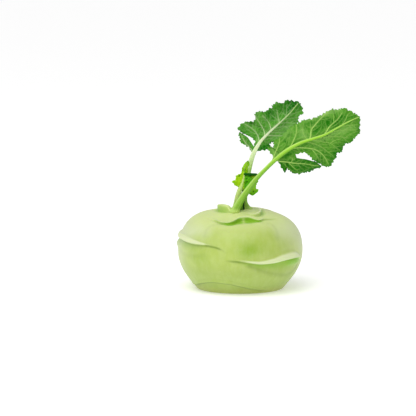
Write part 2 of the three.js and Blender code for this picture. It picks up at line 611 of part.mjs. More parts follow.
const frontBlade = () => blade(
  lobedGrids(frontRib, FRONT_UPPER, FRONT_LOWER, FRONT_LOBE, 7),
  bladeDepth(frontRib, frontBehind, 0.016, { height: 1.6, length: 17, phase: 0.6 }),
  BLADE_THICKNESS,
);
const backBlade = () => blade(
  lobedGrids(backRib, BACK_RIGHT, BACK_LEFT, BACK_LOBE, 6),
  bladeDepth(backRib, backBehind, -0.012, { height: 1.4, length: 14, phase: 2 }),
  BLADE_THICKNESS,
);

const group = new THREE.Group();

function addPiece(name, geometry, color, roughness) {
  const piece = new THREE.Mesh(geometry, new THREE.MeshStandardMaterial({ color, roughness, metalness: 0 }));
  piece.name = name;
  group.add(piece);
}

addPiece('bulb', bulb(), '#bfd572', 0.55);
addPiece('front_leaf_stalk', stem(frontSpine, 44, frontFlatness, () => 0), '#79b833', 0.45);
addPiece('front_leaf_blade', frontBlade(), '#5f9f38', 0.6);
addPiece('back_leaf_stalk', stem(backSpine, 40, backFlatness, (t) => lerp(0.3, 0, t)), '#bfdc86', 0.45);
addPiece('back_leaf_blade', backBlade(), '#579a3f', 0.55);
HEART_LEAVES.forEach((leaf) => addPiece(leaf.name, heartLeaf(leaf), leaf.color, 0.5));

export default group;
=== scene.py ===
import math
import random

import bmesh
import bpy
import numpy as np
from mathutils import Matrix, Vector, kdtree


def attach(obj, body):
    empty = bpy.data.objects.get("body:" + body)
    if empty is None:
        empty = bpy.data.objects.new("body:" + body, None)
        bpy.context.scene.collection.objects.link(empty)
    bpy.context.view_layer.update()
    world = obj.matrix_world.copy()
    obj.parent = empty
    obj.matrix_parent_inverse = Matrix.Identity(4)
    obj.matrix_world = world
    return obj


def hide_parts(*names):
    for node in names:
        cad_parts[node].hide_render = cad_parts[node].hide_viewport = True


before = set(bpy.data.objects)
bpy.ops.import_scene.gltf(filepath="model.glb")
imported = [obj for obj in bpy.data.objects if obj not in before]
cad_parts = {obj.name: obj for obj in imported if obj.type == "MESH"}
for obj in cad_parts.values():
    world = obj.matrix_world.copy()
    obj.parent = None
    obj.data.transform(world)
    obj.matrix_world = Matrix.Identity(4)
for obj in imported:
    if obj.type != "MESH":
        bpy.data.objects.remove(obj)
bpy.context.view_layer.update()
MM = 0.001  # metres in a millimetre: the sizes below are in millimetres


# ---------------------------------------------------------------- bulb
# The swollen stem: a squat ball of crisp flesh under a thin, smooth skin with a dull bloom of wax. Winding up
# to the crown are the scars of the leaves that were picked off, each a pale lip over a green cut face. Below,
# the ball is cut off flat, and stands on the cut.
FOOT_RADIUS = 29.5
BULB_RADIUS = 45.2
BULB_HEIGHT = 58.4
FOOT_DEPTH = 0.88  # depth of the foot as a share of its width
CROWN_FALL = 0.1  # slope of the crown towards the front
SECTION = [
    (FOOT_RADIUS, 0), (31.2, 0.5), (32.9, 2.3), (35.2, 5.2), (38.2, 9), (41.2, 13.6), (43.4, 18.3),
    (44.8, 23.2), (BULB_RADIUS, 28.5), (44.9, 33.5), (43.9, 38.3), (42, 42.8), (39.2, 46.8),
    (35.4, 50.2), (30.6, 53), (24.8, 55.2), (18, 56.9), (10, 58), (0, BULB_HEIGHT),
]
BULB_COLUMNS = 320
FOOT_ROWS = 8


def mix(first, second, share):
    """The value at a share of the way from the first to the second."""
    return first + (second - first) * share


def smooth(value, low, high):
    """Rises from 0 at the low value to 1 at the high one, level at both ends."""
    share = np.clip((value - low) / (high - low), 0, 1)
    return share * share * (3 - 2 * share)


def bell(value, middle, width):
    """Falls from 1 at the middle towards 0 on both sides."""
    return np.exp(-(((value - middle) / width) ** 2))


def turn(azimuth, middle):
    """The angle from the middle to the azimuth, the short way round."""
    return (azimuth - middle + 540) % 360 - 180


def swell(azimuth, middle, width):
    """A bell over the azimuths."""
    return bell(turn(azimuth, middle), 0, width)


def through(places, power, pieces=24):
    """Points of a Catmull-Rom curve through the places, with as many pieces from each place to the next. The
    power is that of the distances which set the curve's pace: 0 for an even one."""
    p = np.array(places, float)
    p = np.vstack([2 * p[0] - p[1], p, 2 * p[-1] - p[-2]])
    gaps = np.linalg.norm(np.diff(p, axis=0), axis=1) ** power
    share = (np.arange(pieces) / pieces)[:, None]
    points = []
    for i in range(1, len(p) - 2):
        before, start, end, after = p[i - 1:i + 3]
        first, gap, last = gaps[i - 1:i + 2]
        leave = ((start - before) / first - (end - before) / (first + gap) + (end - start) / gap) * gap
        arrive = ((end - start) / gap - (after - start) / (gap + last) + (after - end) / last) * gap
        bend = -3 * start + 3 * end - 2 * leave - arrive
        twist = 2 * start - 2 * end + leave + arrive
        points.append(start + leave * share + bend * share**2 + twist * share**3)
    return np.vstack([*points, p[-2:-1]])


def runs_of(points):
    """How far along a line each of its points lies."""
    return np.concatenate([[0], np.cumsum(np.linalg.norm(np.diff(points, axis=0), axis=1))])


def along(points, at, runs=None):
    """Places on a line of points, at the given runs or at shares of the line's parameter."""
    runs = np.linspace(0, 1, len(points)) if runs is None else runs
    return np.stack([np.interp(at, runs, column) for column in points.T], axis=-1)


section = through(SECTION, 0)
section_run = runs_of(section)
SKIN = section_run[-1]


# Rings of scars from the foot to the crown. A station gives its azimuth in degrees from the front towards the
# right, the height of the scar's edge on the skin, the width and lift of the lip over it, the drop and cut of
# the face under it, how pale and green the scar shows, and how dark the painted shade is in the crease under
# its edge. Last values that are left out are 0.
STATION_VALUES = 9
FOOT_RING = [
    (-168, 11.5, 3, 0.7, 6, 1, 0, 0, 0.9), (-145, 8.5, 2.5, 0.4, 4, 0.5, 0, 0, 0.6),
    (-122, 7, 2.5, 0, 3), (-92, 6, 2.5, 0, 3), (-80, 6.2, 2.5, 0.4, 4, 0.4, 0, 0, 0.5),
    (-67, 7.4, 2.5, 0.6, 5, 0.8, 0, 0, 0.9), (-44, 11.4, 3, 0.8, 6, 1.1, 0, 0, 1.8),
    (-30, 13.2, 3, 0.8, 7, 1.1, 0, 0, 1.9), (-13, 12.4, 3, 0.8, 7, 1.1, 0, 0, 1.9),
    (-4, 10.8, 3, 0.8, 6, 1, 0, 0, 1.8), (6, 8.6, 2.8, 0.7, 5, 0.9, 0, 0, 1.5),
    (17, 6.4, 2.5, 0.5, 4, 0.7, 0, 0, 0.8), (28, 5, 2.5, 0.3, 3, 0.3, 0, 0, 0.4), (42, 4.5, 2, 0, 3),
    (100, 7, 2, 0, 3), (126, 9, 3, 0.6, 4, 0.8, 0, 0, 0.8), (152, 12, 3, 0.8, 6, 1, 0, 0, 1.8),
]
RIGHT_RING = [
    (-176, 29.6, 3.4, 1.8, 7, 0.6, 1, 0.5), (-165, 30.4, 2.6, 1.4, 5, 0.3, 0.9, 0.6),
    (-156, 30.4, 1.6, 0, 4), (-60, 31.4, 1.2, 0, 3), (-16, 32.6, 1.2, 0, 3),
    (-4, 32.1, 1.2, 0.2, 3, 0.2, 0, 0.1, 0.7), (2, 31.6, 1.3, 0.5, 4, 0.4, 0.3, 0.2, 0.5),
    (10, 30.6, 1.6, 0.8, 5, 0.6, 0.9, 0.5, 0.2), (20, 29.7, 2.2, 1.2, 6, 0.8, 1, 0.7, 0.2),
    (30, 29.9, 3.2, 1.6, 8, 0.9, 1, 0.7, 0.1), (42, 30.9, 4.2, 2, 11, 0.9, 1, 0.6),
    (53, 31.3, 4.4, 2.2, 12, 0.8, 1, 0.6), (62, 31.2, 4, 1.9, 11, 0.6, 1, 0.55),
    (69, 30.2, 2.6, 1.1, 8, 0.4, 0.9, 0.2), (75, 29.4, 2, 0.2, 5, 0, 0.2), (84, 29.4, 1.6, 0, 4),
    (120, 29, 1.3, 0, 4), (138, 28, 1.8, 0.8, 6, 0.6, 0.9, 0.3, 0.3),
    (160, 27.8, 3, 1.5, 8, 0.8, 1, 0.45, 0.1),
]
LEFT_RING = [
    (-150, 45, 1.5, 0, 4), (-130, 44.2, 2.2, 0.5, 6, 0.4, 0.5, 0.2, 0.1),
    (-114, 43.6, 3.2, 1.4, 8, 0.8, 1, 0.25), (-92, 43.4, 3.6, 1.5, 9, 0.5, 1, 0.3),
    (-76, 43.4, 3.6, 1.7, 9, 0.7, 1, 0.3, 0.1), (-60, 42.6, 3.8, 1.9, 8, 0.9, 1, 0.35, 0.2),
    (-47, 42.2, 2.8, 1.5, 6, 0.7, 1, 0.2, 0.2), (-37, 42.3, 1.6, 0.9, 4, 0.5, 0.9, 0.1, 0.3),
    (-33, 42.4, 1.2, 0.4, 3, 0.4, 0.3, 0, 0.6), (-28, 42.1, 1.2, 0.2, 2, 0.3, 0, 0.2, 0.6),
    (-21, 41.1, 1.2, 0.2, 2, 0.3, 0, 0.2, 0.6), (-18, 40.3, 1.2, 0.1, 3, 0.1, 0, 0, 0.2),
    (-11, 37.4, 1.2, 0, 3), (4, 37.5, 1.2, 0, 3), (50, 41.5, 1.2, 0, 3), (108, 47, 1.2, 0, 4),
    (124, 49, 2, 0.9, 7, 0.8, 0.8, 0.3, 0.2), (142, 50.5, 3, 1.5, 8, 0.9, 1, 0.4, 0.1),
    (160, 50.5, 3, 1.5, 7, 0.9, 1, 0.4, 0.1), (176, 48.5, 1.8, 0.6, 4, 0.5, 0.5, 0.1, 0.4),
]
FRONT_RING = [
    (-178, 70.5, 1.5, 0.8, 8, 1.8, 0.8, 0.9), (-160, 67.5, 1.5, 0.6, 4, 0.8, 0.4, 0.4, 0.2),
    (-140, 66.5, 1.2, 0, 3), (-70, 67, 1.2, 0, 3), (-48, 68, 1.3, 0.2, 3, 0.2, 0.2, 0, 0.1),
    (-38, 67.4, 1.4, 0.5, 3, 0.5, 0.5, 0.2, 0.3), (-27, 66.2, 1.4, 0.6, 3.5, 1, 0.7, 0.6, 0.2),
    (-19, 66.6, 1.3, 0.6, 5, 1.4, 0.8, 1), (-12, 69, 1.3, 0.6, 8, 1.9, 0.9, 1),
    (-6, 73, 1.2, 0.5, 11, 2.6, 0.9, 1), (0, 74.8, 1.2, 0.5, 12.5, 2.8, 0.9, 1),
    (8, 75.4, 1.2, 0.5, 13, 2.8, 0.9, 1), (16, 75, 1.2, 0.5, 12.5, 2.8, 0.9, 1),
    (21, 73, 1.2, 0.6, 9, 2.2, 0.9, 1), (25, 70.6, 1.3, 0.6, 6, 1.4, 0.9, 1),
    (31, 69, 1.3, 0.6, 3.5, 1, 0.7, 0.9, 0.1), (42, 70, 1.3, 0.5, 3, 0.5, 0.4, 0.2, 0.3),
    (55, 68.4, 1.2, 0.3, 3, 0.2, 0.1, 0.1, 0.2), (72, 66.5, 1.2, 0, 3), (112, 66.5, 1.2, 0, 3),
    (130, 68, 1.4, 0.6, 5, 1.1, 0.6, 0.7, 0.2), (148, 71.5, 1.4, 0.7, 9, 2.2, 0.8, 1),
    (165, 73, 1.4, 0.7, 10, 2.4, 0.8, 1),
]
CROWN_RING = [
    (-170, 80, 1.5, 0, 3), (-128, 79, 2, 0.1, 3), (-112, 78.6, 3.4, 1.4, 4, 0.4, 0.1, 0.4),
    (-100, 79.2, 4.4, 3.6, 4.5, 0.6, 0.2, 0.7), (-80, 81.2, 5, 4.8, 4.5, 0.6, 0.2, 0.7),
    (-60, 83, 4.6, 4.6, 4.5, 0.6, 0.2, 0.6), (-49, 84, 4, 3.4, 4, 0.5, 0.2, 0.4),
    (-40, 84, 3, 1.2, 3, 0.2, 0.1, 0.2), (-30, 83.6, 2, 0, 3), (0, 83, 1.5, 0, 3),
    (24, 80.2, 1.6, 0.2, 3, 0.2, 0.3, 0.1, 0.2), (38, 77.6, 1.8, 1.2, 4, 0.8, 0.9, 0.3),
    (55, 78.2, 2, 1.6, 5, 1.2, 0.9, 0.4), (75, 80, 2, 1.6, 5, 1.2, 0.9, 0.7),
    (95, 81.2, 1.9, 1.3, 4.5, 1, 0.8, 0.6), (115, 80.5, 1.8, 0.7, 4, 0.5, 0.5, 0.4, 0.1),
    (135, 80, 1.5, 0, 3),
]
RINGS = [FOOT_RING, RIGHT_RING, LEFT_RING, FRONT_RING, CROWN_RING]

# Torn ends of leaf bases that were left standing: azimuth, skin, half width and half height, and lift.
STUBS = [(60, 28.6, 12, 2.6, 0.9), (-172, 27.6, 9, 1.9, 0.8)]

# Shallow seams around the old leaf bases, as azimuth and skin, with their depth and the strength of the
# painted shade along them. Degrees count for as much as they do at the seam radius.
SEAM_RADIUS = 40
SEAMS = [
    (
        [(8, 28.4), (19, 24.9), (30, 21.8), (40, 19.8), (50, 18.3), (61, 18.8), (67, 21.7), (70, 25)],
        0.22, 0.3,
    ),
    ([(-28, 64), (-34, 62.6), (-38, 60.5), (-39.5, 57), (-39.5, 52.9), (-38.5, 49.4)], 0.15, 0.12),
    ([(32, 65.5), (38.5, 63.6), (43, 61), (43, 57), (41, 51.8), (38.5, 47.6)], 0.15, 0.12),
    ([(-76, 35), (-60, 33.4), (-46, 33.4), (-36, 35)], 0.12, 0.1),
    ([(138, 24), (158, 19), (176, 19), (190, 23)], 0.2, 0.3),
]


def ring_at(ring, azimuth):
    """Values of a ring's stations at the azimuths, on smooth curves that don't overshoot."""
    table = np.array([[*station, *[0] * (STATION_VALUES - len(station))] for station in ring], float)
    lap = np.eye(table.shape[1])[0] * 360
    stations = np.vstack([table - lap, table, table + lap])
    gaps = np.diff(stations[:, 0])[:, None]
    slopes = np.diff(stations[:, 1:], axis=0) / gaps
    same = slopes[:-1] * slopes[1:] > 0
    total = np.where(same, slopes[:-1] + slopes[1:], 1)
    rises = np.vstack([slopes[:1], np.where(same, 2 * slopes[:-1] * slopes[1:] / total, 0), slopes[-1:]])
    place = np.searchsorted(stations[:, 0], azimuth, side="right") - 1
    gap = gaps[place]
    share = (azimuth - stations[place, 0])[:, None] / gap
    start, end = stations[place, 1:], stations[place + 1, 1:]
    eased = share**2 * (3 - 2 * share)
    bent = share * (1 - share) * ((1 - share) * rises[place] - share * rises[place + 1]) * gap
    return (mix(start, end, eased) + bent).T


def nearest(line, places):
    """Distance from each place to a line, the side that it is on, and the line's own values there."""
    places = np.asarray(places, float)
    best = np.full(len(places), np.inf)
    hand = np.zeros(len(places))
    values = np.zeros((len(places), line.shape[1] - 2))
    for start, end in zip(line, line[1:]):
        step = end[:2] - start[:2]
        away = places - start[:2]
        share = np.clip(away @ step / (step @ step), 0, 1)
        distance = np.linalg.norm(away - share[:, None] * step, axis=1)
        closer = distance < best
        best[closer] = distance[closer]
        hand[closer] = np.sign(away[closer, 0] * step[1] - away[closer, 1] * step[0])
        values[closer] = mix(start[2:], end[2:], share[closer, None])
    return best, hand, values


def seam_distance(seam, azimuth, skin):
    """Distance over the skin from a seam, in millimetres."""
    wide = np.radians(1) * SEAM_RADIUS
    middle = seam[len(seam) // 2][0]
    x = (turn(azimuth, middle) + middle) * wide
    return nearest(through([(a * wide, s) for a, s in seam], 0.5, 6), np.column_stack([x, skin]))[0]


def relief(azimuth, skin):
    """Height of the skin over the plain section, and how much of each mark shows on it."""
    height = np.zeros_like(skin)
    marks = {name: np.zeros_like(skin) for name in ("lip", "face", "crease_shade", "torn")}
    for ring in RINGS:
        edge, width, lift, drop, cut, pale, green, dark = ring_at(ring, azimuth)
        above = skin - edge
        step = smooth(above, -0.5, 0.3)
        lip = step * (1 - smooth(above, 0.5 * width, 1.25 * width))
        groove = bell(above, 1.5 * width, 0.4 * width)
        face = (1 - step) * (1 - smooth(-above, 0.2 * drop, drop))
        height += lift * (lip - 0.12 * groove) - cut * face
        brow = smooth(above, -0.05, 0.35)
        marks["lip"] += pale * brow * (1 - smooth(above, 0.8 * width, 1.15 * width))
        marks["face"] += green * (1 - brow) * (1 - smooth(-above, 0.1 * drop, 0.95 * drop))
        # painted shade in the crease under the scar's edge
        marks["crease_shade"] += dark * bell(above, -0.4, 0.85)
    for azimuth_of, skin_of, half_width, half_height, lift in STUBS:
        aside, over = turn(azimuth, azimuth_of) / half_width, (skin - skin_of) / half_height
        stub = np.exp(-(aside**4) - over**4)
        height += lift * stub
        marks["torn"] += stub
    for seam, depth, shade in SEAMS:
        away = seam_distance(seam, azimuth, skin)
        height -= depth * bell(away, 0, 1.4)
        # painted shade along the seam
        marks["crease_shade"] += shade * bell(away, 0, 1.7)
    belly = np.sin(np.pi * skin / SKIN) ** 2
    cheeks = 0.5 * np.sin(np.radians(3 * azimuth + 70)) + 0.4 * np.sin(np.radians(5 * azimuth + 10))
    shoulder = 0.9 * swell(azimuth, -95, 50) * bell(skin, 62, 10)
    swelling = 1.5 * swell(azimuth, -92, 13) * bell(skin, 38.8, 2.6)
    return (height + cheeks * belly + shoulder + swelling) * smooth(skin, 0.2, 3), marks


def bulb_points(azimuth, skin):
    """Points of the skin, in millimetres, with their marks."""
    places, ahead, behind = (along(section, skin + away, section_run).T for away in (0, 0.2, -0.2))
    forward = (ahead - behind) / np.linalg.norm(ahead - behind, axis=0)
    height, marks = relief(azimuth, skin)
    height *= 1 - smooth(skin, SKIN - 8, SKIN)
    radius = places[0] + height * forward[1]
    x = radius * np.sin(np.radians(azimuth))
    y = -radius * np.cos(np.radians(azimuth)) * mix(FOOT_DEPTH, 1, smooth(skin, 0, 22))
    fall = CROWN_FALL * 0.5 * (np.hypot(y, 10) - y) * smooth(skin, 45, 75)
    return np.stack([x, y, places[1] - height * forward[0] - fall], axis=-1), marks


def crown_height(x, y):
    """Height of the crown over a point of the plan."""
    skins = np.linspace(60, SKIN, 400)
    azimuth = math.degrees(math.atan2(x, -y))
    points, _ = bulb_points(np.full_like(skins, azimuth), skins)
    radii = np.hypot(points[:, 0], points[:, 1])
    return float(np.interp(-math.hypot(x, y), -radii, points[:, 2]))


def skin_rows(azimuth):
    """Skin heights of the rows at one azimuth: close together along each scar, wider in the plain between.
    The knots are heights on the skin, and the counts are the rows from each knot to the next."""
    knots = [0.0, 0.4, 1.6]
    counts = [2, 3]
    for number, ring in enumerate(RINGS):
        edge, width, lift, drop, cut, *_ = ring_at(ring, np.array([azimuth]))[:, 0]
        shown = smooth(lift + abs(cut), 0, 1)
        knots += [edge - mix(1.8, drop, shown), edge - 0.9, edge + 0.5, edge + mix(1.5, 1.35 * width, shown)]
        counts += [(3, 9, 6, 8, 3)[number], (5, 10, 9, 10, 6)[number], 8, 7]
    knots.append(SKIN)
    counts.append(18)
    knots = np.maximum.accumulate(knots)
    return np.interp(np.arange(sum(counts) + 1), np.concatenate([[0], np.cumsum(counts)]), knots)


def flat_grid(bm, columns, rows):
    """The points of a flat grid that is to be shaped, with each one's column and row."""
    made = bmesh.ops.create_grid(bm, x_segments=columns, y_segments=rows, size=1)["verts"]
    column = np.array([round((vert.co.x + 1) / 2 * columns) for vert in made])
    row = np.array([round((vert.co.y + 1) / 2 * rows) for vert in made])
    return made, column, row


def rolled_sheet(bm, columns, rows):
    """A grid to roll into a closed round form: its points, with each one's azimuth and row."""
    made, column, row = flat_grid(bm, columns, rows)
    return made, column * 360 / columns - 180, row


def close_roll(bm, verts):
    """Welds the seam of a rolled sheet and its two poles."""
    bmesh.ops.remove_doubles(bm, verts=verts, dist=0.0005 * MM)


def new_layers(bm, names):
    """Layers for the marks of a bmesh, which its material reads."""
    return {name: bm.verts.layers.float.new(name) for name in names}


def write_marks(verts, layers, marks):
    """Writes each mark's values at the points."""
    for name, values in marks.items():
        for vert, value in zip(verts, values):
            vert[layers[name]] = float(value)


def finish_mesh(bm, name, material):
    """Turns a bmesh into an object of the scene that rides on the part's one body."""
    mesh = bpy.data.meshes.new(name)
    bmesh.ops.recalc_face_normals(bm, faces=bm.faces)
    for face in bm.faces:
        face.smooth = True
    bm.to_mesh(mesh)
    bm.free()
    mesh.materials.append(material)
    piece = bpy.data.objects.new(name, mesh)
    bpy.context.scene.collection.objects.link(piece)
    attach(piece, "root")
    return piece


def linear(colour):
    """An sRGB hex colour as linear RGBA."""
    values = [int(colour[i:i + 2], 16) / 255 for i in (1, 3, 5)]
    return [v / 12.92 if v <= 0.04045 else ((v + 0.055) / 1.055) ** 2.4 for v in values] + [1]


def add(tree, kind, inputs, **settings):
    """Adds a node. An input is given by name or number, as a value, a node or a socket to link."""
    made = tree.nodes.new("ShaderNode" + kind)
    for name, value in settings.items():
        setattr(made, name, value)
    for name, value in inputs.items():
        if isinstance(name, int):
            socket = made.inputs[name]
        else:
            socket = next(entry for entry in made.inputs if entry.name == name and entry.enabled)
        if isinstance(value, bpy.types.Node):
            value = next(entry for entry in value.outputs if entry.enabled)
        if isinstance(value, bpy.types.NodeSocket):
            tree.links.new(value, socket)
        else:
            socket.default_value = value
    return made


def new_material(name):
    """An empty node material, and its tree."""
    material = bpy.data.materials.new(name)
    material.use_nodes = True
    material.node_tree.nodes.clear()
    return material, material.node_tree


def tissue(tree, relief, depth, strength, scatter, sockets):
    """The body of all the plant's materials: wet tissue that light enters a little way, with a fine relief.
    The scatter is how far red, green and blue go in it, relative to each other."""
    bump = add(tree, "Bump", {"Height": relief, "Distance": depth * MM, "Strength": strength})
    wet = {"IOR": 1.42, "Normal": bump, "Subsurface Radius": scatter}
    add(tree, "OutputMaterial", {"Surface": add(tree, "BsdfPrincipled", {**sockets, **wet})})


def bulb_skin():
    """Kohlrabi skin: thin, tight, smooth, pale yellow-green, and dulled by a bloom of wax, together with a
    painted pale reflection at its sides and none in front. It is darker towards the bottom with painted
    shade, and paler towards the crown, partly wax and partly painted light from above. The lips of the scars
    are almost white, and the faces under them green and wet, with painted shade in the creases under the lips
    and along the seams. The skin is clouded over 18 mm, streaked upwards by its fibres, and has a grit of
    1.4 mm."""
    material, tree = new_material("waxy kohlrabi skin")
    place = add(tree, "TexCoord", {}).outputs["Object"]
    grain = add(tree, "Attribute", {}, attribute_name="grain").outputs["Vector"]
    cloud = add(tree, "TexNoise", {"Vector": place, "Scale": 55, "Detail": 3, "Roughness": 0.55})
    fibre = add(tree, "TexNoise", {"Vector": grain, "Scale": 10, "Detail": 4, "Roughness": 0.6})
    grit = add(tree, "TexNoise", {"Vector": place, "Scale": 700, "Detail": 3, "Roughness": 0.7})
    patch = add(tree, "MapRange", {"Value": cloud, "From Min": 0.35, "From Max": 0.65})
    patches = {"Factor": patch, "A": linear("#b9cb68"), "B": linear("#adc25a")}
    colour = add(tree, "Mix", patches, data_type="RGBA")
    ragged = add(
        tree, "MapRange", {"Value": cloud, "From Min": 0.3, "From Max": 0.7, "To Min": 0.75, "To Max": 1.2},
    )
    # low is painted shade towards the bottom, the bloom is wax with a painted reflection at the sides, and
    # the crown is pale wax with painted light from above
    for name, tone in (
        ("warm", "#94b437"), ("low", "#a6bb5a"), ("bloom_and_reflection", "#cdd8a6"), ("crown", "#d2e08e"),
        ("foot", "#aeba5c"),
    ):
        mark = add(tree, "Attribute", {}, attribute_name=name).outputs["Fac"]
        share = add(tree, "Math", {0: mark, 1: ragged}, operation="MULTIPLY", use_clamp=True)
        colour = add(tree, "Mix", {"Factor": share, "A": colour, "B": linear(tone)}, data_type="RGBA")
    streak = add(tree, "MapRange", {"Value": fibre, "From Min": 0.4, "From Max": 0.7, "To Max": 0.12})
    colour = add(tree, "Mix", {"Factor": streak, "A": colour, "B": linear("#dbe6b0")}, data_type="RGBA")
    # the crease colour is painted shade under the lips and along the seams
    for name, tone in (("face", "#86b91c"), ("lip", "#dae3b0"), ("torn", "#8cc02c"), ("crease_shade", "#65801f")):
        mark = add(tree, "Attribute", {}, attribute_name=name).outputs["Fac"]
        colour = add(tree, "Mix", {"Factor": mark, "A": colour, "B": linear(tone)}, data_type="RGBA")
    speck = add(tree, "MapRange", {"Value": grit, "From Min": 0.6, "From Max": 0.75, "To Max": 0.08})
    colour = add(tree, "Mix", {"Factor": speck, "A": colour, "B": linear("#e4ecc6")}, data_type="RGBA")
    torn = add(tree, "Attribute", {}, attribute_name="torn").outputs["Fac"]
    rough = add(tree, "MapRange", {"Value": torn, "To Min": 0.25, "To Max": 4})
    coarse = add(tree, "Math", {0: grit, 1: rough}, operation="MULTIPLY")
    height = add(tree, "Math", {0: fibre, 1: 0.25, 2: coarse}, operation="MULTIPLY_ADD")
    tissue(tree, height, 0.15, 0.5, (0.7, 1.0, 0.25), {
        "Base Color": colour, "Roughness": 0.45, "Sheen Weight": 0.15, "Sheen Roughness": 0.4,
        "Subsurface Weight": 0.15, "Subsurface Scale": 2 * MM,
    })
    return material


def tones(azimuth, skin):
    """Where the skin is greener, duller and paler: its own greener patches, painted shade towards the bottom,
    pale wax and painted light towards the crown, and wax bloom with a painted reflection at the sides, which
    leaves the shield in front clear.
    """
    beside_shield = smooth(np.abs(azimuth - 2), 28, 44)
    around = smooth(np.abs(azimuth), 40, 85)
    warm = (
        (0.9, 7, 9, 39.5, 4.5), (0.35, 3, 26, 46, 10), (0.3, -42, 16, 33, 6), (0.3, 172, 26, 36, 6),
    )
    return {
        "warm": sum(
            strength * swell(azimuth, middle, width) * bell(skin, height, depth)
            for strength, middle, width, height, depth in warm
        ),
        # painted shade: darker towards the bottom
        "low": smooth(32 - skin, 0, 14),
        # wax bloom with a painted reflection, strongest at the sides and clear of the shield in front
        "bloom_and_reflection": np.clip(around * smooth(skin, 12, 50) + 0.75 * beside_shield * bell(skin, 56, 10), 0, 1),
        # paler towards the crown: wax and painted light from above
        "crown": smooth(skin, 47, 68),
        "foot": smooth(9 - skin, 0, 6),
    }


def shape_bulb():
    """The ball in one closed sheet, with the flat foot under it."""
    bm = bmesh.new()
    layers = new_layers(bm, ("lip", "face", "crease_shade", "torn", "warm", "low", "bloom_and_reflection", "crown", "foot"))
    grain_layer = bm.verts.layers.float_vector.new("grain")
    rows = FOOT_ROWS + len(skin_rows(0.0)) - 1
    verts, azimuth, row = rolled_sheet(bm, BULB_COLUMNS, rows)
    columns = {value: skin_rows(value) for value in set(azimuth)}
    skin = np.array([columns[a][max(0, r - FOOT_ROWS)] for a, r in zip(azimuth, row)])
    points, marks = bulb_points(azimuth, skin)
    under = np.clip(row / FOOT_ROWS, 0, 1)
    points[:, :2] *= under[:, None]
    marks.update(tones(azimuth, skin))
    marks["face"] *= 1 - 0.55 * swell(azimuth, 6, 3) * smooth(skin, 58, 60)
    radians = np.radians(azimuth)
    grain = np.stack([np.sin(radians), -np.cos(radians), skin * 0.012], axis=-1)
    for i, vert in enumerate(verts):
        vert.co = Vector(points[i]) * MM
        vert[grain_layer] = Vector(grain[i])
    write_marks(verts, layers, {name: np.clip(values, 0, 1) for name, values in marks.items()})
    close_roll(bm, verts)
    return finish_mesh(bm, "kohlrabi_bulb", bulb_skin())


bulb = shape_bulb()
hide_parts("bulb")


# ---------------------------------------------------------------- stalks and midribs
# Each grown leaf stands on a juicy round stalk that flares into the crown and runs on into the midrib of the
# blade. The front one is bright green with fine ridges, and the back one is paler, almost white at the leaf.
# Both grew out of the crown, and are one with it.
STEM_SIDES = 40
STEM_ROWS = 160
STEM_RIDGES = 9
FOOT_SINK = 0.6  # how deep a stem's foot stands in the crown

# Spines from the foot to the tip: x, y, z and half width.
FRONT_SPINE = [
    (-4, -8.6, 57.5, 2.9), (-1, -9, 63, 2.6), (2.6, -9.4, 68.8, 2.35), (6.8, -10, 74.9, 2.1),
    (11.1, -10.8, 80.8, 1.7), (17.7, -11.8, 88, 1.45), (24.9, -13, 95.2, 1.5), (33, -14.2, 102, 1.5),
    (42.9, -15.4, 107.7, 1.25), (52, -16.6, 111, 1), (60.2, -17.8, 114, 0.78), (68.9, -19.2, 119, 0.56),
    (77.6, -20.8, 124, 0.38), (84, -22, 127, 0.25),
]
BACK_SPINE = [
    (4.4, 3, 57.5, 2.9), (3.3, 3.6, 62.5, 2), (3.9, 4.4, 69, 1.7), (4.8, 5.4, 78.1, 1.65),
    (6.2, 6.4, 84.3, 1.75), (7.5, 7.2, 90.3, 1.8), (9.4, 7.8, 96.4, 1.7), (12.2, 8.2, 102, 1.4),
    (15.5, 8.6, 106.8, 1.05), (21.5, 9.2, 113, 0.75), (29.1, 10, 119.8, 0.55), (36, 10.8, 126.4, 0.4),
    (42, 11.6, 133.4, 0.28),
]


def spine_of(places):
    """Curve of a stalk and its half width, as functions of the share from foot to tip."""
    path = through([place[:3] for place in places], 0.5)
    widths = through([place[3:] for place in places], 0)
    return (lambda share: along(path, share)), (lambda share: along(widths, share)[..., 0])


def steady(value):
    """The same value all along a stem."""
    return lambda share: value + 0 * share


def draw_stem(
    bm, path, half_width, flatness, groove, ridges, flare, sides=STEM_SIDES, rows=STEM_ROWS, foot=True,
):
    """Rolls a stem along its spine, and gives its points, their shares of the spine and their angles. The
    flatness and the groove in front are functions of the share, and a foot stands in the crown."""
    verts, azimuth, row = rolled_sheet(bm, sides, rows)
    share = np.clip((row - 1) / (rows - 2), 0, 1)
    centre = path(share)
    ahead = path(np.clip(share + 0.002, 0, 1)) - path(np.clip(share - 0.002, 0, 1))
    forward = ahead / np.linalg.norm(ahead, axis=1)[:, None]
    if foot:
        forward = mix(np.array([0.0, 0, 1]), forward, smooth(share, 0, 0.08)[:, None])
        forward /= np.linalg.norm(forward, axis=1)[:, None]
    front = np.array([0.0, -1, 0]) + forward * forward[:, 1:2]
    front /= np.linalg.norm(front, axis=1)[:, None]
    side = np.cross(front, forward)
    angle = np.radians(azimuth)
    run = share * runs_of(path(np.linspace(0, 1, 200)))[-1]
    wide = half_width(share) * (1 + flare * np.exp(-run / 2.6) + 0.4 * flare * np.exp(-run / 1.1))
    wide = np.where((row == 0) | (row == rows), 0, wide)
    channel = 1 - groove(share) * bell(np.cos(angle), 0, 0.45) * (np.sin(angle) > 0)
    ribbed = 1 + ridges * np.cos(STEM_RIDGES * angle) * (1 - smooth(share, 0.35, 0.6))
    points = centre + side * (wide * np.cos(angle) * ribbed)[:, None]
    points += front * (wide * flatness(share) * np.sin(angle) * channel * ribbed)[:, None]
    tip = np.where(row == rows, half_width(1.0), 0)
    points += forward * tip[:, None]
    if foot:
        for i in np.flatnonzero(row <= 1):
            points[i, 2] = crown_height(points[i, 0], points[i, 1]) - FOOT_SINK
    for vert, point in zip(verts, points):
        vert.co = Vector(point) * MM
    return verts, share, angle


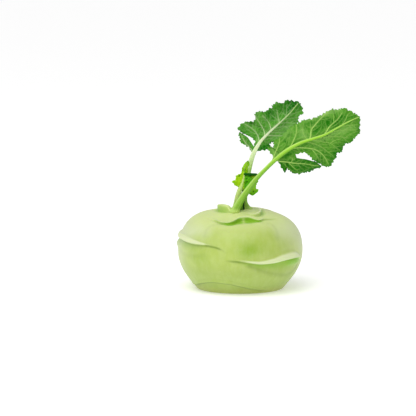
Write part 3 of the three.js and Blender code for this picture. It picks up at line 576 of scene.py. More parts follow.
def stalk_flesh(name, along_it, pale, under, under_to):
    """Leaf stalk: wet green flesh under a tight shiny skin. Its five colours run along it from foot to tip,
    with long pale fibres, a painted highlight in the pale colour along its lit upper side, and painted shade
    in a stronger green along its under side as far as a share of its length."""
    material, tree = new_material(name)
    share = add(tree, "Attribute", {}, attribute_name="share").outputs["Fac"]
    fibres = add(tree, "Attribute", {}, attribute_name="fibres").outputs["Vector"]
    colour = linear(along_it[0])
    for tone, left, reached in zip(along_it[1:], (0, 0.05, 0.3, 0.75), (0.035, 0.25, 0.6, 0.95)):
        change = add(tree, "MapRange", {"Value": share, "From Min": left, "From Max": reached})
        colour = add(tree, "Mix", {"Factor": change, "A": colour, "B": linear(tone)}, data_type="RGBA")
    streak = add(tree, "TexNoise", {"Vector": fibres, "Scale": 1.0, "Detail": 3, "Roughness": 0.6})
    side = add(tree, "Attribute", {}, attribute_name="side").outputs["Fac"]
    # painted highlight along the lit upper side, mixed with the long pale fibres
    lit = add(tree, "MapRange", {"Value": side, "From Min": 0.7, "From Max": 0.95, "To Max": 0.6})
    streaked = add(tree, "MapRange", {"Value": streak, "From Min": 0.45, "From Max": 0.75, "To Max": 0.3})
    highlight_and_fibres = add(tree, "Math", {0: lit, 1: streaked}, operation="ADD", use_clamp=True)
    colour = add(tree, "Mix", {"Factor": highlight_and_fibres, "A": colour, "B": linear(pale)}, data_type="RGBA")
    # painted shade in a stronger green along the under side, up to a share of the length
    below = add(tree, "MapRange", {"Value": side, "From Min": 0.5, "From Max": 0.15, "To Max": 0.8})
    coming = add(tree, "MapRange", {"Value": share, "From Min": 0.02, "From Max": 0.1})
    going = add(tree, "MapRange", {"Value": share, "From Min": under_to, "From Max": under_to - 0.2})
    lasting = add(tree, "Math", {0: coming, 1: going}, operation="MULTIPLY")
    under_shade = add(tree, "Math", {0: below, 1: lasting}, operation="MULTIPLY")
    colour = add(tree, "Mix", {"Factor": under_shade, "A": colour, "B": linear(under)}, data_type="RGBA")
    tissue(tree, streak, 0.3, 0.5, (0.6, 1.0, 0.2), {
        "Base Color": colour, "Roughness": 0.36, "Specular IOR Level": 0.3,
        "Subsurface Weight": 0.1, "Subsurface Scale": 2 * MM,
    })
    return material


def front_flatness(share):
    """Depth of the front stem as a share of its width."""
    return mix(0.95, 0.85, share)


def back_flatness(share):
    """Depth of the back stem, which is flatter in its leaf."""
    return mix(0.9, 0.5, smooth(share, 0.4, 0.6))


def shape_stalk(name, spine, flatness, groove, ridges, flare, material):
    """A stalk with its midrib, whose fibres run along it."""
    bm = bmesh.new()
    layers = new_layers(bm, ("share", "side"))
    fibre_layer = bm.verts.layers.float_vector.new("fibres")
    verts, share, angle = draw_stem(bm, *spine, flatness, groove, ridges, flare)
    write_marks(verts, layers, {"share": share, "side": 0.5 + 0.5 * np.cos(angle)})
    for i, vert in enumerate(verts):
        vert[fibre_layer] = (3 * math.cos(angle[i]), 3 * math.sin(angle[i]), 6 * share[i])
    close_roll(bm, verts)
    return finish_mesh(bm, name, material)


front_spine = spine_of(FRONT_SPINE)
back_spine = spine_of(BACK_SPINE)
front_stalk = shape_stalk(
    "front_stalk_and_midrib", front_spine, front_flatness, steady(0), 0.03, 0.25,
    stalk_flesh(
        "green leaf stalk", ("#bfd572", "#86b436", "#84b932", "#9bd330", "#a4d45c"), "#c8ea84", "#67a51c",
        0.85,
    ),
)
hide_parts("front_leaf_stalk")
back_stalk = shape_stalk(
    "back_stalk_and_midrib", back_spine, back_flatness, lambda share: mix(0.3, 0, share), 0.02, 0.75,
    stalk_flesh(
        "pale leaf stalk", ("#b4d360", "#92c43c", "#aed45e", "#e6f2c8", "#9ccb62"), "#e2f0bc", "#7fb833",
        0.5,
    ),
)
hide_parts("back_leaf_stalk")


# ---------------------------------------------------------------- blades of the two grown leaves
# A blade is one thin sheet grown on along both sides of its midrib, waved and toothed at its margin, with a
# lobe of its own at the base behind a notch. Side veins leave the midrib, fork and net the sheet, which is
# puckered between them.
BLADE_THICKNESS = 0.55
BEHIND = 1.1  # how far behind its midrib the sheet lies
MARGIN_PITCH = 0.6
WELD = 0.004  # points this close to each other are one
RIB_PIECES = 240
STATION = 0.6  # distance along the rib between the places that a margin can be tied to
LEAN = 0.2  # how far a tie lies towards the foot, as a share of the way to the margin
UNFOLD = 8.0  # how far a tie may move on to undo a fold

# Ranks of the veins: their width as a share of a main vein's, and how clearly each shows on the sheet.
MAIN, MINOR, BRANCH = 1.0, 0.6, 0.3
VEIN_SHADE = {MAIN: 0.75, MINOR: 0.38, BRANCH: 0.25}
VEIN_STEP = 0.8
VEIN_STEPS = 40  # the longest that a branch grows
VEIN_MEETING = 0.9  # a branch ends this close to another vein
VEIN_SIDES = 8


def finer(points, pitch, teeth=0.0):
    """An outline with points a pitch apart, and small teeth that fade out at its ends."""
    points = np.array(points, float)
    runs = runs_of(points)
    wanted = [runs[0]]
    for start, end in zip(runs, runs[1:]):
        pieces = max(1, math.ceil((end - start) / pitch))
        wanted += list(np.linspace(start, end, pieces + 1)[1:])
    wanted = np.array(wanted)
    fine = along(points, wanted, runs)
    heading = np.gradient(fine, axis=0)
    normal = np.stack([-heading[:, 1], heading[:, 0]], axis=-1)
    normal /= np.linalg.norm(normal, axis=1)[:, None]
    phase = wanted / 2.9 + 0.35 * np.sin(wanted / 2.3) + 0.2 * np.sin(wanted / 0.9)
    tooth = np.abs((phase % 1) - 0.5) * 2 - 0.5
    ends = smooth(wanted, 0, 3) * smooth(runs[-1] - wanted, 0, 3)
    return fine + normal * (teeth * tooth * ends)[:, None]


def rib_of(path, start):
    """Rib of a blade as rows of x, z, run in plan, depth and share."""
    share = np.linspace(start, 1, RIB_PIECES + 1)
    points = path(share)
    plan = points[:, [0, 2]]
    return np.column_stack([plan, runs_of(plan), points[:, 1], share])


def place_at(rib, run):
    """The place in plan on a rib, by its run."""
    return along(rib[:, :2], run, rib[:, 2])


def folds(place, start, end, hand):
    """Whether a sheet hung from one place of its rib turns back over itself between two margin points."""
    first, second = np.subtract(start, place), np.subtract(end, place)
    return hand * (first[0] * second[1] - first[1] * second[0]) < 0


def tie(rib, margin, lean, stations=None):
    """Ties each margin point to the rib a little behind the nearest place, the last one to the rib's tip.
    Where the margin turns back, the tie moves on along the rib until the sheet lies without a fold."""
    full = rib[-1, 2]
    distance, hands, values = nearest(rib, margin)
    hand = hands[len(margin) // 2]
    last = 0.0
    ties = []
    for i, (end, away, run) in enumerate(zip(margin, distance, values[:, 0])):
        wanted = max(last, run - lean * away)
        if stations is None:
            last = min(round(wanted / STATION) * STATION, full)
            steps = [last + step for step in np.arange(0, UNFOLD, STATION)]
            flat = [at for at in steps if i == 0 or not folds(place_at(rib, at), margin[i - 1], end, hand)]
            last = min(flat[0] if flat else last, full)
        else:
            last = stations[int(np.argmin(np.abs(np.array(stations) - wanted)))]
        ties.append((last, np.array(end)))
    ties[-1] = (full, ties[-1][1])
    return ties


def with_stations(ties, stations):
    """Adds the stations that only the other side has, so that both sides share the rib's points."""
    columns = []
    for (run, end), (next_run, next_end) in zip(ties, ties[1:]):
        columns.append((run, end))
        for station in stations:
            if run < station < next_run:
                columns.append((station, mix(end, next_end, (station - run) / (next_run - run))))
    return columns + [ties[-1]]


def strip(rib, columns, rows, lift=None):
    """Grid of the sheet between the rib and a margin: x, z and lift."""
    share = np.linspace(0, 1, rows + 1)[:, None]
    grid = []
    for run, end in columns:
        plan = mix(place_at(rib, run), end, share)
        raised = 0.0 if lift is None else lift(run)
        grid.append(np.column_stack([plan, np.full(rows + 1, raised)]))
    return np.array(grid)


def tied_sides(rib, margins):
    """The ties of a leaf's margins to its rib, and all the stations that they use."""
    sides = [tie(rib, margin, LEAN) for margin in margins]
    return sides, sorted({run for side in sides for run, _ in side})


def blade_patches(rib, whole, main, lobe, rows):
    """Four grids: the whole side, the main part of the other side, and the lobe on both sides of its vein."""
    sides, stations = tied_sides(rib, (whole, main))
    main_grid = strip(rib, with_stations(sides[1], stations), rows)
    root = [place_at(rib, run) for run in stations if run < sides[1][0][0]]
    vein = np.column_stack([lobe["vein"], runs_of(np.array(lobe["vein"]))])
    length = vein[-1, 2]
    inner = [*root, *main_grid[0][:, :2], *finer(lobe["notch"], MARGIN_PITCH)[1:]]
    inner_ties = tie(vein, np.array(inner), 0)
    lobe_stations = sorted({run for run, _ in inner_ties})
    outer_ties = tie(vein, finer(lobe["margin"], MARGIN_PITCH, lobe["teeth"]), 0, lobe_stations)

    def lift(run):
        return lobe["lift"] * float(smooth(run, lobe["free"] * length, length))

    return [
        (strip(rib, with_stations(sides[0], stations), rows), False),
        (main_grid, True),
        (strip(vein, inner_ties, rows, lift), False),
        (strip(vein, with_stations(outer_ties, lobe_stations), rows, lift), True),
    ]


def lay_patch(bm, grid, mirrored):
    """Lays a flat grid of the right count over the patch's points."""
    before = len(bm.faces)
    for vert, column, row in zip(*flat_grid(bm, grid.shape[0] - 1, grid.shape[1] - 1)):
        x, z, lift = grid[column, row]
        vert.co = Vector((x, lift, z)) * MM
    if mirrored:
        bm.faces.ensure_lookup_table()
        bmesh.ops.reverse_faces(bm, faces=bm.faces[before:])


def lay_sheet(bm, patches):
    """Lays the patches of a sheet, welds them to each other, and gives the points in plan."""
    for grid, mirrored in patches:
        lay_patch(bm, grid, mirrored)
    bmesh.ops.remove_doubles(bm, verts=bm.verts, dist=WELD * MM)
    return np.array([(vert.co.x, vert.co.z) for vert in bm.verts]) / MM


def face_front(bm):
    """Turns a sheet's faces to the front."""
    bmesh.ops.recalc_face_normals(bm, faces=bm.faces)
    if sum(face.normal.y for face in bm.faces) > 0:
        bmesh.ops.reverse_faces(bm, faces=bm.faces)


def join(bm, other):
    """Moves the whole of another bmesh into this one."""
    mesh = bpy.data.meshes.new("joined")
    other.to_mesh(mesh)
    other.free()
    bm.from_mesh(mesh)
    bpy.data.meshes.remove(mesh)


def inside(polygon, place):
    """True if the place is inside the polygon."""
    x, z = place
    x0, z0 = polygon[:, 0], polygon[:, 1]
    x1, z1 = np.roll(x0, -1), np.roll(z0, -1)
    crosses = (z0 > z) != (z1 > z)
    with np.errstate(divide="ignore", invalid="ignore"):
        at = x0 + (z - z0) * (x1 - x0) / (z1 - z0)
    return bool(np.sum(crosses & (x < at)) % 2)


def grow_veins(mains, minors, polygons, spacing, seed):
    """Side branches of the veins, walked outwards until they meet another vein or the margin."""
    rng = random.Random(seed)
    parents = [(line, MAIN) for line in mains] + [(line, MINOR) for line in minors]
    parents = [(finer(through(line, 0.5, 8), VEIN_STEP), rank) for line, rank in parents]
    taken = [point for line, _ in parents for point in line]
    grown = list(parents)
    for parent, _ in parents:
        run = spacing * (0.6 + 0.4 * rng.random())
        side = rng.choice((-1, 1))
        total = VEIN_STEP * (len(parent) - 1)
        while run < total - 1.5:
            i = min(len(parent) - 2, int(run / VEIN_STEP))
            heading = parent[i + 1] - parent[i]
            angle = math.atan2(heading[1], heading[0]) + side * math.radians(rng.uniform(42, 62))
            bend = -side * math.radians(rng.uniform(1.5, 4))
            place = parent[i].copy()
            line = [place.copy()]
            while len(line) < VEIN_STEPS:
                place = place + VEIN_STEP * np.array([math.cos(angle), math.sin(angle)])
                angle += bend + math.radians(rng.uniform(-4, 4))
                if not any(inside(polygon, place) for polygon in polygons):
                    break
                gaps = np.linalg.norm(np.array(taken) - place, axis=1)
                line.append(place.copy())
                if len(line) > 3 and gaps.min() < VEIN_MEETING:
                    break
            if len(line) > 4:
                taken += line[2:]
                grown.append((np.array(line), BRANCH))
            side = -side
            run += spacing * (0.5 + 0.4 * rng.random())
    return grown


def thicken(bm, thickness, back=None):
    """Gives a sheet that faces the front its thickness, half to each side, and marks its back in a layer."""
    bm.normal_update()
    outward = {vert: vert.normal.copy() for vert in bm.verts}
    fronts = {tuple(vert.co): vert for vert in bm.verts}
    made = bmesh.ops.extrude_face_region(bm, geom=bm.faces[:], use_keep_orig=True)["geom"]
    for vert in [part for part in made if isinstance(part, bmesh.types.BMVert)]:
        below = fronts[tuple(vert.co)]
        vert.co += outward[below] * thickness / 2 * MM
    for vert, normal in outward.items():
        if back is not None:
            vert[back] = 1.0
        vert.co -= normal * thickness / 2 * MM


def shape_blade(name, leaf, material):
    """The sheet of a blade with its veins, in one piece."""
    rib = rib_of(leaf["spine"][0], leaf["start"])
    whole = finer(leaf["whole"], MARGIN_PITCH, leaf["teeth"])
    main = finer(leaf["main"], MARGIN_PITCH, -leaf["teeth"])
    lobe = dict(leaf["lobe"], teeth=-leaf["teeth"])
    bm = bmesh.new()
    layers = new_layers(bm, ("vein", "back", "dark", "pale"))
    plan = lay_sheet(bm, blade_patches(rib, whole, main, lobe, leaf["rows"]))
    lift = np.array([vert.co.y for vert in bm.verts]) / MM
    distance, hand, values = nearest(rib, plan)
    run, depth, share = values.T
    wave = leaf["wave"]
    frill = np.sin(2 * np.pi * run / wave["length"] + wave["phase"] + hand)
    depth = depth + leaf["behind"](share) + leaf["camber"] * distance**2
    depth += wave["height"] * smooth(distance, 3, 18) * frill + lift
    polygons = [
        np.vstack([leaf["whole"], leaf["main"][::-1], rib[:1, :2]]),
        np.vstack([leaf["lobe"]["margin"], leaf["lobe"]["notch"][::-1], leaf["lobe"]["vein"][:1]]),
    ]
    veins = grow_veins(leaf["veins"], leaf["minor_veins"], polygons, leaf["vein_spacing"], leaf["seed"])
    vein_distance = distance.copy()
    traced = np.zeros(len(plan))
    for line, rank in veins:
        line_distance, _, at = nearest(np.column_stack([line, np.linspace(0, 1, len(line))]), plan)
        vein_distance = np.minimum(vein_distance, line_distance + 0.5 * (1 - rank))
        shown = (1 - 0.5 * at[:, 0]) * VEIN_SHADE[rank]
        traced = np.maximum(traced, shown * bell(line_distance, 0, 0.3 + 0.15 * rank))
    depth += leaf["pucker"] * (1 - np.exp(-((vein_distance / 2.2) ** 2)))
    depth -= leaf["hug"] * (1 - smooth(distance, 0.5, 4.5))
    for vert, y in zip(bm.verts, depth):
        vert.co.y = y * MM
    face_front(bm)
    tree = kdtree.KDTree(len(bm.verts))
    for i, vert in enumerate(bm.verts):
        tree.insert((vert.co.x, 0, vert.co.z), i)
    tree.balance()
    bm.verts.ensure_lookup_table()

    def sheet_depth(x, z):
        found = tree.find_n((x * MM, 0, z * MM), 4)
        weights = [1 / (gap + 1e-5) for _, _, gap in found]
        depths = [bm.verts[index].co.y / MM for _, index, _ in found]
        return sum(w * d for w, d in zip(weights, depths)) / sum(weights)

    vein_paths = [(np.array([(x, sheet_depth(x, z), z) for x, z in line]), rank) for line, rank in veins]
    # the dark mark is painted shade, and the pale mark painted sheen
    dark = np.clip(leaf["painted_shade_part"](*plan.T) + shades(plan, leaf["dark"]), 0, 1)
    write_marks(bm.verts, layers, {"vein": traced, "dark": dark, "pale": shades(plan, leaf["pale"])})
    thicken(bm, BLADE_THICKNESS, layers["back"])
    veins_bm = bmesh.new()
    vein_layers = new_layers(veins_bm, ("vein",))
    for line, rank in vein_paths:
        steps = np.linspace(0, 1, len(line))
        width = leaf["vein_width"] * rank * (1 - 0.7 * steps)
        line = line + np.array([0, leaf["vein_offset"], 0])
        made, share, _ = draw_stem(
            veins_bm, lambda at: along(line, at), lambda at: np.interp(at, steps, width),
            steady(1), steady(0), 0, 0, sides=VEIN_SIDES, rows=max(6, len(line)), foot=False,
        )
        write_marks(made, vein_layers, {"vein": (1 - 0.35 * share) * rank})
        close_roll(veins_bm, made)
    join(bm, veins_bm)
    return finish_mesh(bm, name, material)


def leaf_green(name, front, back, vein, dark, pale):
    """Leaf blade: a thin green sheet dulled by wax, paler and greyer beneath than above, and netted with fine
    veins, with painted shade in its hollows and under folds and a painted sheen on its grey folds. The meshes
    of the net are 2.4 and 0.9 mm wide, and the green is clouded over 8 mm."""
    material, tree = new_material(name)
    place = add(tree, "TexCoord", {}).outputs["Object"]
    marks = {
        key: add(tree, "Attribute", {}, attribute_name=key).outputs["Fac"]
        for key in ("vein", "back", "dark", "pale")
    }
    cloud = add(tree, "TexNoise", {"Vector": place, "Scale": 120, "Detail": 3, "Roughness": 0.55})
    net, fine_net = (
        add(
            tree, "TexVoronoi", {"Vector": place, "Scale": scale, "Randomness": randomness},
            feature="DISTANCE_TO_EDGE",
        )
        for scale, randomness in ((420, 0.9), (1100, 1.0))
    )
    patch = add(tree, "MapRange", {"Value": cloud, "From Min": 0.3, "From Max": 0.7, "To Max": 0.4})
    # painted shade from the dark mark, with a random cloud of darker green
    shade_and_mottle = add(tree, "Math", {0: marks["dark"], 1: patch}, operation="ADD", use_clamp=True)
    thread = add(
        tree, "MapRange", {"Value": net, "From Min": 0.0, "From Max": 0.09, "To Min": 0.14, "To Max": 0.0},
    )
    colour = linear(front)
    for share, tone in (
        (marks["back"], back), (marks["pale"], pale), (shade_and_mottle, dark), (thread, vein), (marks["vein"], vein),
    ):
        colour = add(tree, "Mix", {"Factor": share, "A": colour, "B": linear(tone)}, data_type="RGBA")
    height = add(tree, "Math", {0: net, 1: 1.2, 2: fine_net}, operation="MULTIPLY_ADD")
    tissue(tree, height, 0.5, 0.35, (0.5, 1.0, 0.2), {
        "Base Color": colour, "Roughness": 0.55, "Specular IOR Level": 0.1,
        "Subsurface Weight": 0.12, "Subsurface Scale": 1 * MM,
    })
    return material


def half_depth(spine, flatness):
    """Depth of the sheet behind the middle of its midrib, as a function of the share."""
    return lambda share: spine[1](share) * flatness(share) + BEHIND


def shades(plan, spots):
    """How strongly soft spots cover a blade: used for its painted shade and for its painted sheen."""
    total = np.zeros(len(plan))
    for x, z, long, short, angle, strength in spots:
        away = plan - [x, z]
        c, s = math.cos(math.radians(angle)), math.sin(math.radians(angle))
        total += strength * np.exp(-((away @ [c, s] / long) ** 2) - (away @ [-s, c] / short) ** 2)
    return np.clip(total, 0, 1)


# The outlines are x and z from the midrib's foot to its tip, along both sides, and then the lobe's. A spot is
# its place, two half sizes, turn and strength: the dark ones are painted shade in hollows and under folds,
# and the pale ones painted sheen on grey folds.
FRONT_LEAF = dict(
    spine=front_spine,
    start=6 / 13,
    behind=half_depth(front_spine, front_flatness),
    camber=0.016,
    wave=dict(height=1.6, length=17, phase=0.6),
    teeth=1.3,
    rows=36,
    whole=[
        (24.4, 95.3), (23.4, 97.6), (19.7, 102), (20, 103.9), (24.1, 104.2), (23.7, 107.5),
        (25.5, 108.9), (29.1, 111.9), (32.1, 114.8), (34.1, 116.3), (36.4, 119.3), (40.6, 121),
        (45.7, 124.2), (48.3, 124), (53.6, 125.4), (59, 128.6), (63.4, 131.6), (65.9, 132.1),
        (67, 131.3), (70.1, 132.2), (74.1, 133.5), (76.7, 131.7), (81.2, 129.6), (85, 127.4),
    ],
    main=[
        (39.5, 99.2), (42.1, 99.6), (45.5, 100.7), (48.2, 99.6), (50.6, 96.9), (52.1, 94.8),
        (56.2, 92.8), (59.6, 90.1), (60.9, 89), (64.7, 89.5), (67.3, 94.3), (69.1, 96.5), (68.6, 98.2),
        (69, 100), (73.1, 101.3), (72.9, 105), (74.4, 105.2), (74.4, 107.3), (76.8, 107), (79.8, 108.3),
        (80.7, 110.5), (83.7, 113.1), (85.6, 115.8), (84.5, 118.4), (85.4, 121.4), (85, 127.4),
    ],
    lobe=dict(
        vein=[(24.8, 95.2), (28, 93.8), (34.3, 93), (45.1, 91.4), (58.2, 89.9)],
        notch=[(39.9, 96.5), (43, 95.8), (48.2, 94.8), (53.9, 93.4), (58.2, 89.9)],
        margin=[
            (27.3, 94), (28.4, 92.2), (29.5, 89), (31.7, 85.4), (33.9, 88.6), (36.9, 85.6),
            (42.2, 84.2), (46, 84.9), (50.8, 85.4), (53.4, 87.3), (58.2, 88.6), (58.2, 89.9),
        ],
        lift=2.5,
        free=0.5,
    ),
    veins=[
        [(22.5, 93.5), (25.1, 100.1), (27.8, 106.9), (28.2, 110.5)],
        [(34.4, 102.8), (36.2, 105.3), (40, 114.4), (40.2, 120)],
        [(49.5, 110.6), (50.2, 112.3), (50.9, 117.3), (55.3, 122.7), (59.7, 127.7), (62.3, 130)],
        [(60.6, 115), (61.5, 116.2), (63.7, 119.7), (69.4, 125.2), (72.5, 129.7)],
        [(33.5, 102.3), (38.9, 103.9), (46.5, 104), (53.2, 102.9), (57.6, 100.3), (60.7, 96.8), (63.4, 91.8)],
        [(24.8, 95.2), (26.9, 94.3), (33.2, 93.5), (39.9, 92.5), (46.5, 91.7), (56, 90.2)],
    ],
    minor_veins=[
        [(48, 110.3), (46.4, 111.8), (44.6, 116.2), (45.1, 121.2)],
        [(50.9, 117.5), (50.4, 118.6), (49.9, 122)],
        [(66.8, 122.9), (66.3, 128.3)],
        [(72.6, 121.6), (74.3, 123.8), (76.5, 128.5), (77.8, 129.8)],
        [(51.4, 102.9), (55, 98), (56.8, 94)],
        [(42.5, 107.8), (48.2, 108.2), (54.5, 106.5), (58.5, 104.4), (62.5, 101.3), (66.9, 97.8)],
        [(48, 110), (53.6, 109.7), (59.8, 108.4), (64.2, 107.6), (67.8, 105), (70.9, 102.4)],
        [(64.2, 107.6), (66.9, 109.5), (71.3, 110.7)],
        [(52, 111), (55.3, 111.6), (64.2, 112.6), (72.2, 112.3), (77, 111.5)],
        [(59, 113.8), (61.1, 114.7), (70.8, 117.2), (82.7, 117.6)],
        [(66.5, 117.6), (67.7, 118.5), (75.2, 120.8), (82.7, 121.4)],
        [(36.7, 93.6), (37.4, 95.7), (35.2, 97.3)],
        [(35, 92.6), (39, 88.7), (41.2, 86.9)],
    ],
    vein_spacing=4.5,
    vein_width=0.46,
    vein_offset=-0.25,
    seed=5,
    pucker=0.95,
    hug=0.5,
    painted_shade_part=lambda x, z: smooth(96.5 - z, 0, 2.5) * smooth(x, 24, 28) * (1 - smooth(x, 57, 60)),
    dark=[
        (58.5, 121.8, 4.5, 4, -35, 1), (63.8, 123.4, 3.4, 3, 40, 0.9), (51, 121.5, 2.6, 2.4, 0, 0.8),
        (46.5, 119.5, 2, 2.2, 0, 0.5), (54, 117, 3, 2.4, 20, 0.6), (72.3, 125.6, 3.6, 3.4, 30, 1),
        (67.5, 121.3, 2, 2.4, -30, 0.7), (79.5, 127.4, 3, 1.4, -25, 0.4), (78, 106.5, 7, 3, 60, 0.6),
        (71, 103.5, 6, 3.5, 35, 0.9), (68, 97, 5, 3, 60, 0.6), (61, 99.5, 6, 3, -45, 0.7),
        (41, 105.8, 6, 1.6, 25, 0.6), (47, 102, 6, 1.2, 0, 0.6), (52, 106.2, 6, 1, -15, 0.5),
        (57.5, 95.5, 5, 2, -60, 0.8), (63, 91.5, 3, 4, -40, 0.5), (33.3, 98.5, 9, 1.6, 33, 0.8),
        (84.5, 117.5, 3, 1.5, 60, 0.6), (27, 104, 1.6, 3, 0, 0.35), (34.8, 112.8, 2.2, 0.9, 62, 0.9),
        (32.2, 108.4, 1.8, 0.8, 130, 0.8),
    ],
    pale=[
        (60, 128.4, 8, 1.7, 27, 1), (50, 124, 4, 1, 15, 0.6), (69, 130.6, 4, 1.4, 15, 0.6),
        (44, 115, 2.6, 5, 0, 0.7), (33, 114, 4, 4, 40, 0.5), (24, 100.5, 3, 4, 0, 0.5),
        (57, 110.6, 10, 1.8, 5, 0.6), (68, 115, 10, 2, 12, 0.5), (77, 119, 7, 1.6, 10, 0.4),
        (55, 104.8, 5, 1.3, -25, 0.3), (47.5, 112, 3, 2, 20, 0.4),
    ],
)
BACK_LEAF = dict(
    spine=back_spine,
    start=6 / 12,
    behind=half_depth(back_spine, back_flatness),
    camber=-0.012,
    wave=dict(height=1.4, length=14, phase=2),
    teeth=-1.3,
    rows=32,
    whole=[
        (12.7, 98.9), (14.4, 99.3), (18, 99.6), (21.8, 100.4), (22.4, 102), (21, 104), (23.4, 105.6),
        (27.2, 105.9), (31.8, 108.8), (36.1, 112.4), (39.7, 116.1), (41.4, 119), (42.6, 120.8),
        (42.2, 122.2), (42.6, 124.1), (45.4, 126.3), (45.3, 129.3), (44, 132.8), (42.1, 135),
    ],
    main=[
        (10, 102.4), (10.7, 105.8), (9.8, 107.5), (6, 110.6), (3.2, 111.7), (0.1, 113.6), (-1.6, 116.2),
        (-0.1, 118.2), (1.3, 119.7), (3.5, 120.4), (9.7, 120.4), (10.7, 122.2), (10.4, 126.2),
        (11.9, 127.7), (12.9, 128.4), (18.7, 127.3), (20.8, 129.9), (23, 129.9), (23, 132.1),
        (25.9, 134.7), (27.3, 133.5), (29.2, 134.2), (31.4, 134.2), (33.5, 136.1), (35.3, 135.4),
        (37.3, 135.8), (38.5, 134.7), (39.9, 135.4), (42.1, 135),
    ],
    lobe=dict(
        vein=[(9.2, 96.4), (7.6, 100.8), (4.4, 104.4), (2, 108.4), (0, 113.2)],
        notch=[(8.8, 104.2), (7.2, 106.6), (5.6, 109.1), (3.6, 110.7), (0, 113.2)],
        margin=[
            (8.1, 98.4), (7.4, 99.9), (6, 101.8), (2.8, 103.6), (-0.1, 106.3), (0, 109.2),
            (-1.2, 111.5), (-0.7, 113), (0, 113.2),
        ],
        lift=-2.2,
        free=0.5,
    ),
    veins=[
        [(13.2, 103.8), (13.8, 106.3), (12.9, 110), (10.6, 113.6), (7.9, 115.9), (3.2, 119)],
        [(17.6, 109.4), (17.9, 111.3), (17, 114.5), (14.2, 119.5), (11.9, 123.2), (10.4, 125.9)],
        [(21.6, 113.2), (22.2, 114.2), (21.7, 117.6), (18.8, 122.2), (16, 125)],
        [(28, 118.8), (28.3, 120.3), (27.4, 123.9), (26.7, 128.5)],
        [(18.2, 109.8), (20.1, 110.3), (26.1, 110.1), (30.6, 110)],
        [(9.4, 97), (7.6, 100.8), (4.4, 104.4), (2, 108.4), (0.4, 112)],
    ],
    minor_veins=[
        [(28.3, 120.7), (25.1, 123.1), (21.9, 125.8)],
        [(32.6, 123), (33.3, 124.8), (33.7, 128.4), (33.5, 132.1)],
        [(33.3, 124.8), (30.5, 126.6)],
        [(22, 113.6), (25.1, 115.3), (29.7, 116.4), (35.6, 117), (40.6, 116.8)],
        [(19.8, 111.4), (21.5, 112.2), (26.5, 112.6), (31.9, 112.7)],
        [(15.4, 106.6), (17.4, 107.2), (20.6, 108.1), (23.8, 108.5)],
        [(27.4, 118.3), (28.3, 118.9), (33.3, 119.6), (40.6, 118.8)],
        [(32, 122), (33.3, 122.3), (36.9, 122.7), (42, 123.3)],
        [(35, 125.4), (36, 125.7), (40.5, 126.6), (44.1, 127.9)],
    ],
    vein_spacing=4.0,
    vein_width=0.38,
    vein_offset=-0.06,
    seed=11,
    pucker=-0.8,
    hug=0.95,
    painted_shade_part=lambda x, z: 0.75 * smooth(z, 124, 135) * smooth(x, 24, 32),
    dark=[
        (18, 101.4, 7, 2.6, 20, 1), (9.8, 122.5, 1.4, 5, -25, 0.9), (22, 127, 4, 3, 30, 0.6),
        (24, 122.5, 3, 1.6, 30, 0.4), (37, 129.5, 4, 2, 60, 0.6), (39, 114.5, 4, 2, 45, 0.4),
        (1.4, 112.6, 3, 1.2, -30, 0.5), (7.2, 101.6, 2.4, 0.9, -55, 0.5), (9.6, 106, 1, 3.5, 25, 0.5),
    ],
    pale=[
        (27, 112, 9, 5, 30, 0.6), (4, 106, 1.2, 4, 25, 0.5), (35, 118, 6, 4, 30, 0.4),
        (6, 117, 4, 3, 0, 0.3),
    ],
)

front_blade = shape_blade(
    "front_leaf_sheet", FRONT_LEAF,
    leaf_green("green leaf, under side out", "#5a9b2b", "#478628", "#b4dc72", "#217402", "#8cba5e"),
)
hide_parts("front_leaf_blade")
back_blade = shape_blade(
    "back_leaf_sheet", BACK_LEAF,
    leaf_green("green leaf, upper side out", "#55a22c", "#7fae5e", "#cfe6a8", "#187202", "#7fb25a"),
)
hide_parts("back_leaf_blade")


# ---------------------------------------------------------------- heart of young leaves
# Three young leaves still unfolding in the heart, yellow-green and crinkled, with ragged little teeth and
# pits between the crinkles, darkened with painted shade. Each is one with its own thin stalk, which stands in
# the crown.
HEART_THICKNESS = 0.5
HEART_PITCH = 0.45
HEART_STALK_SIDES = 20
HEART_STALK_ROWS = 70
YOUNG_MARKS = ("vein", "dark", "green", "share")


def plain_patches(rib, left, right, rows):
    """Two grids of a blade with no lobe, one for each side of its rib."""
    sides, stations = tied_sides(rib, (left, right))
    grids = [strip(rib, with_stations(side, stations), rows) for side in sides]
    return zip(grids, (False, True))


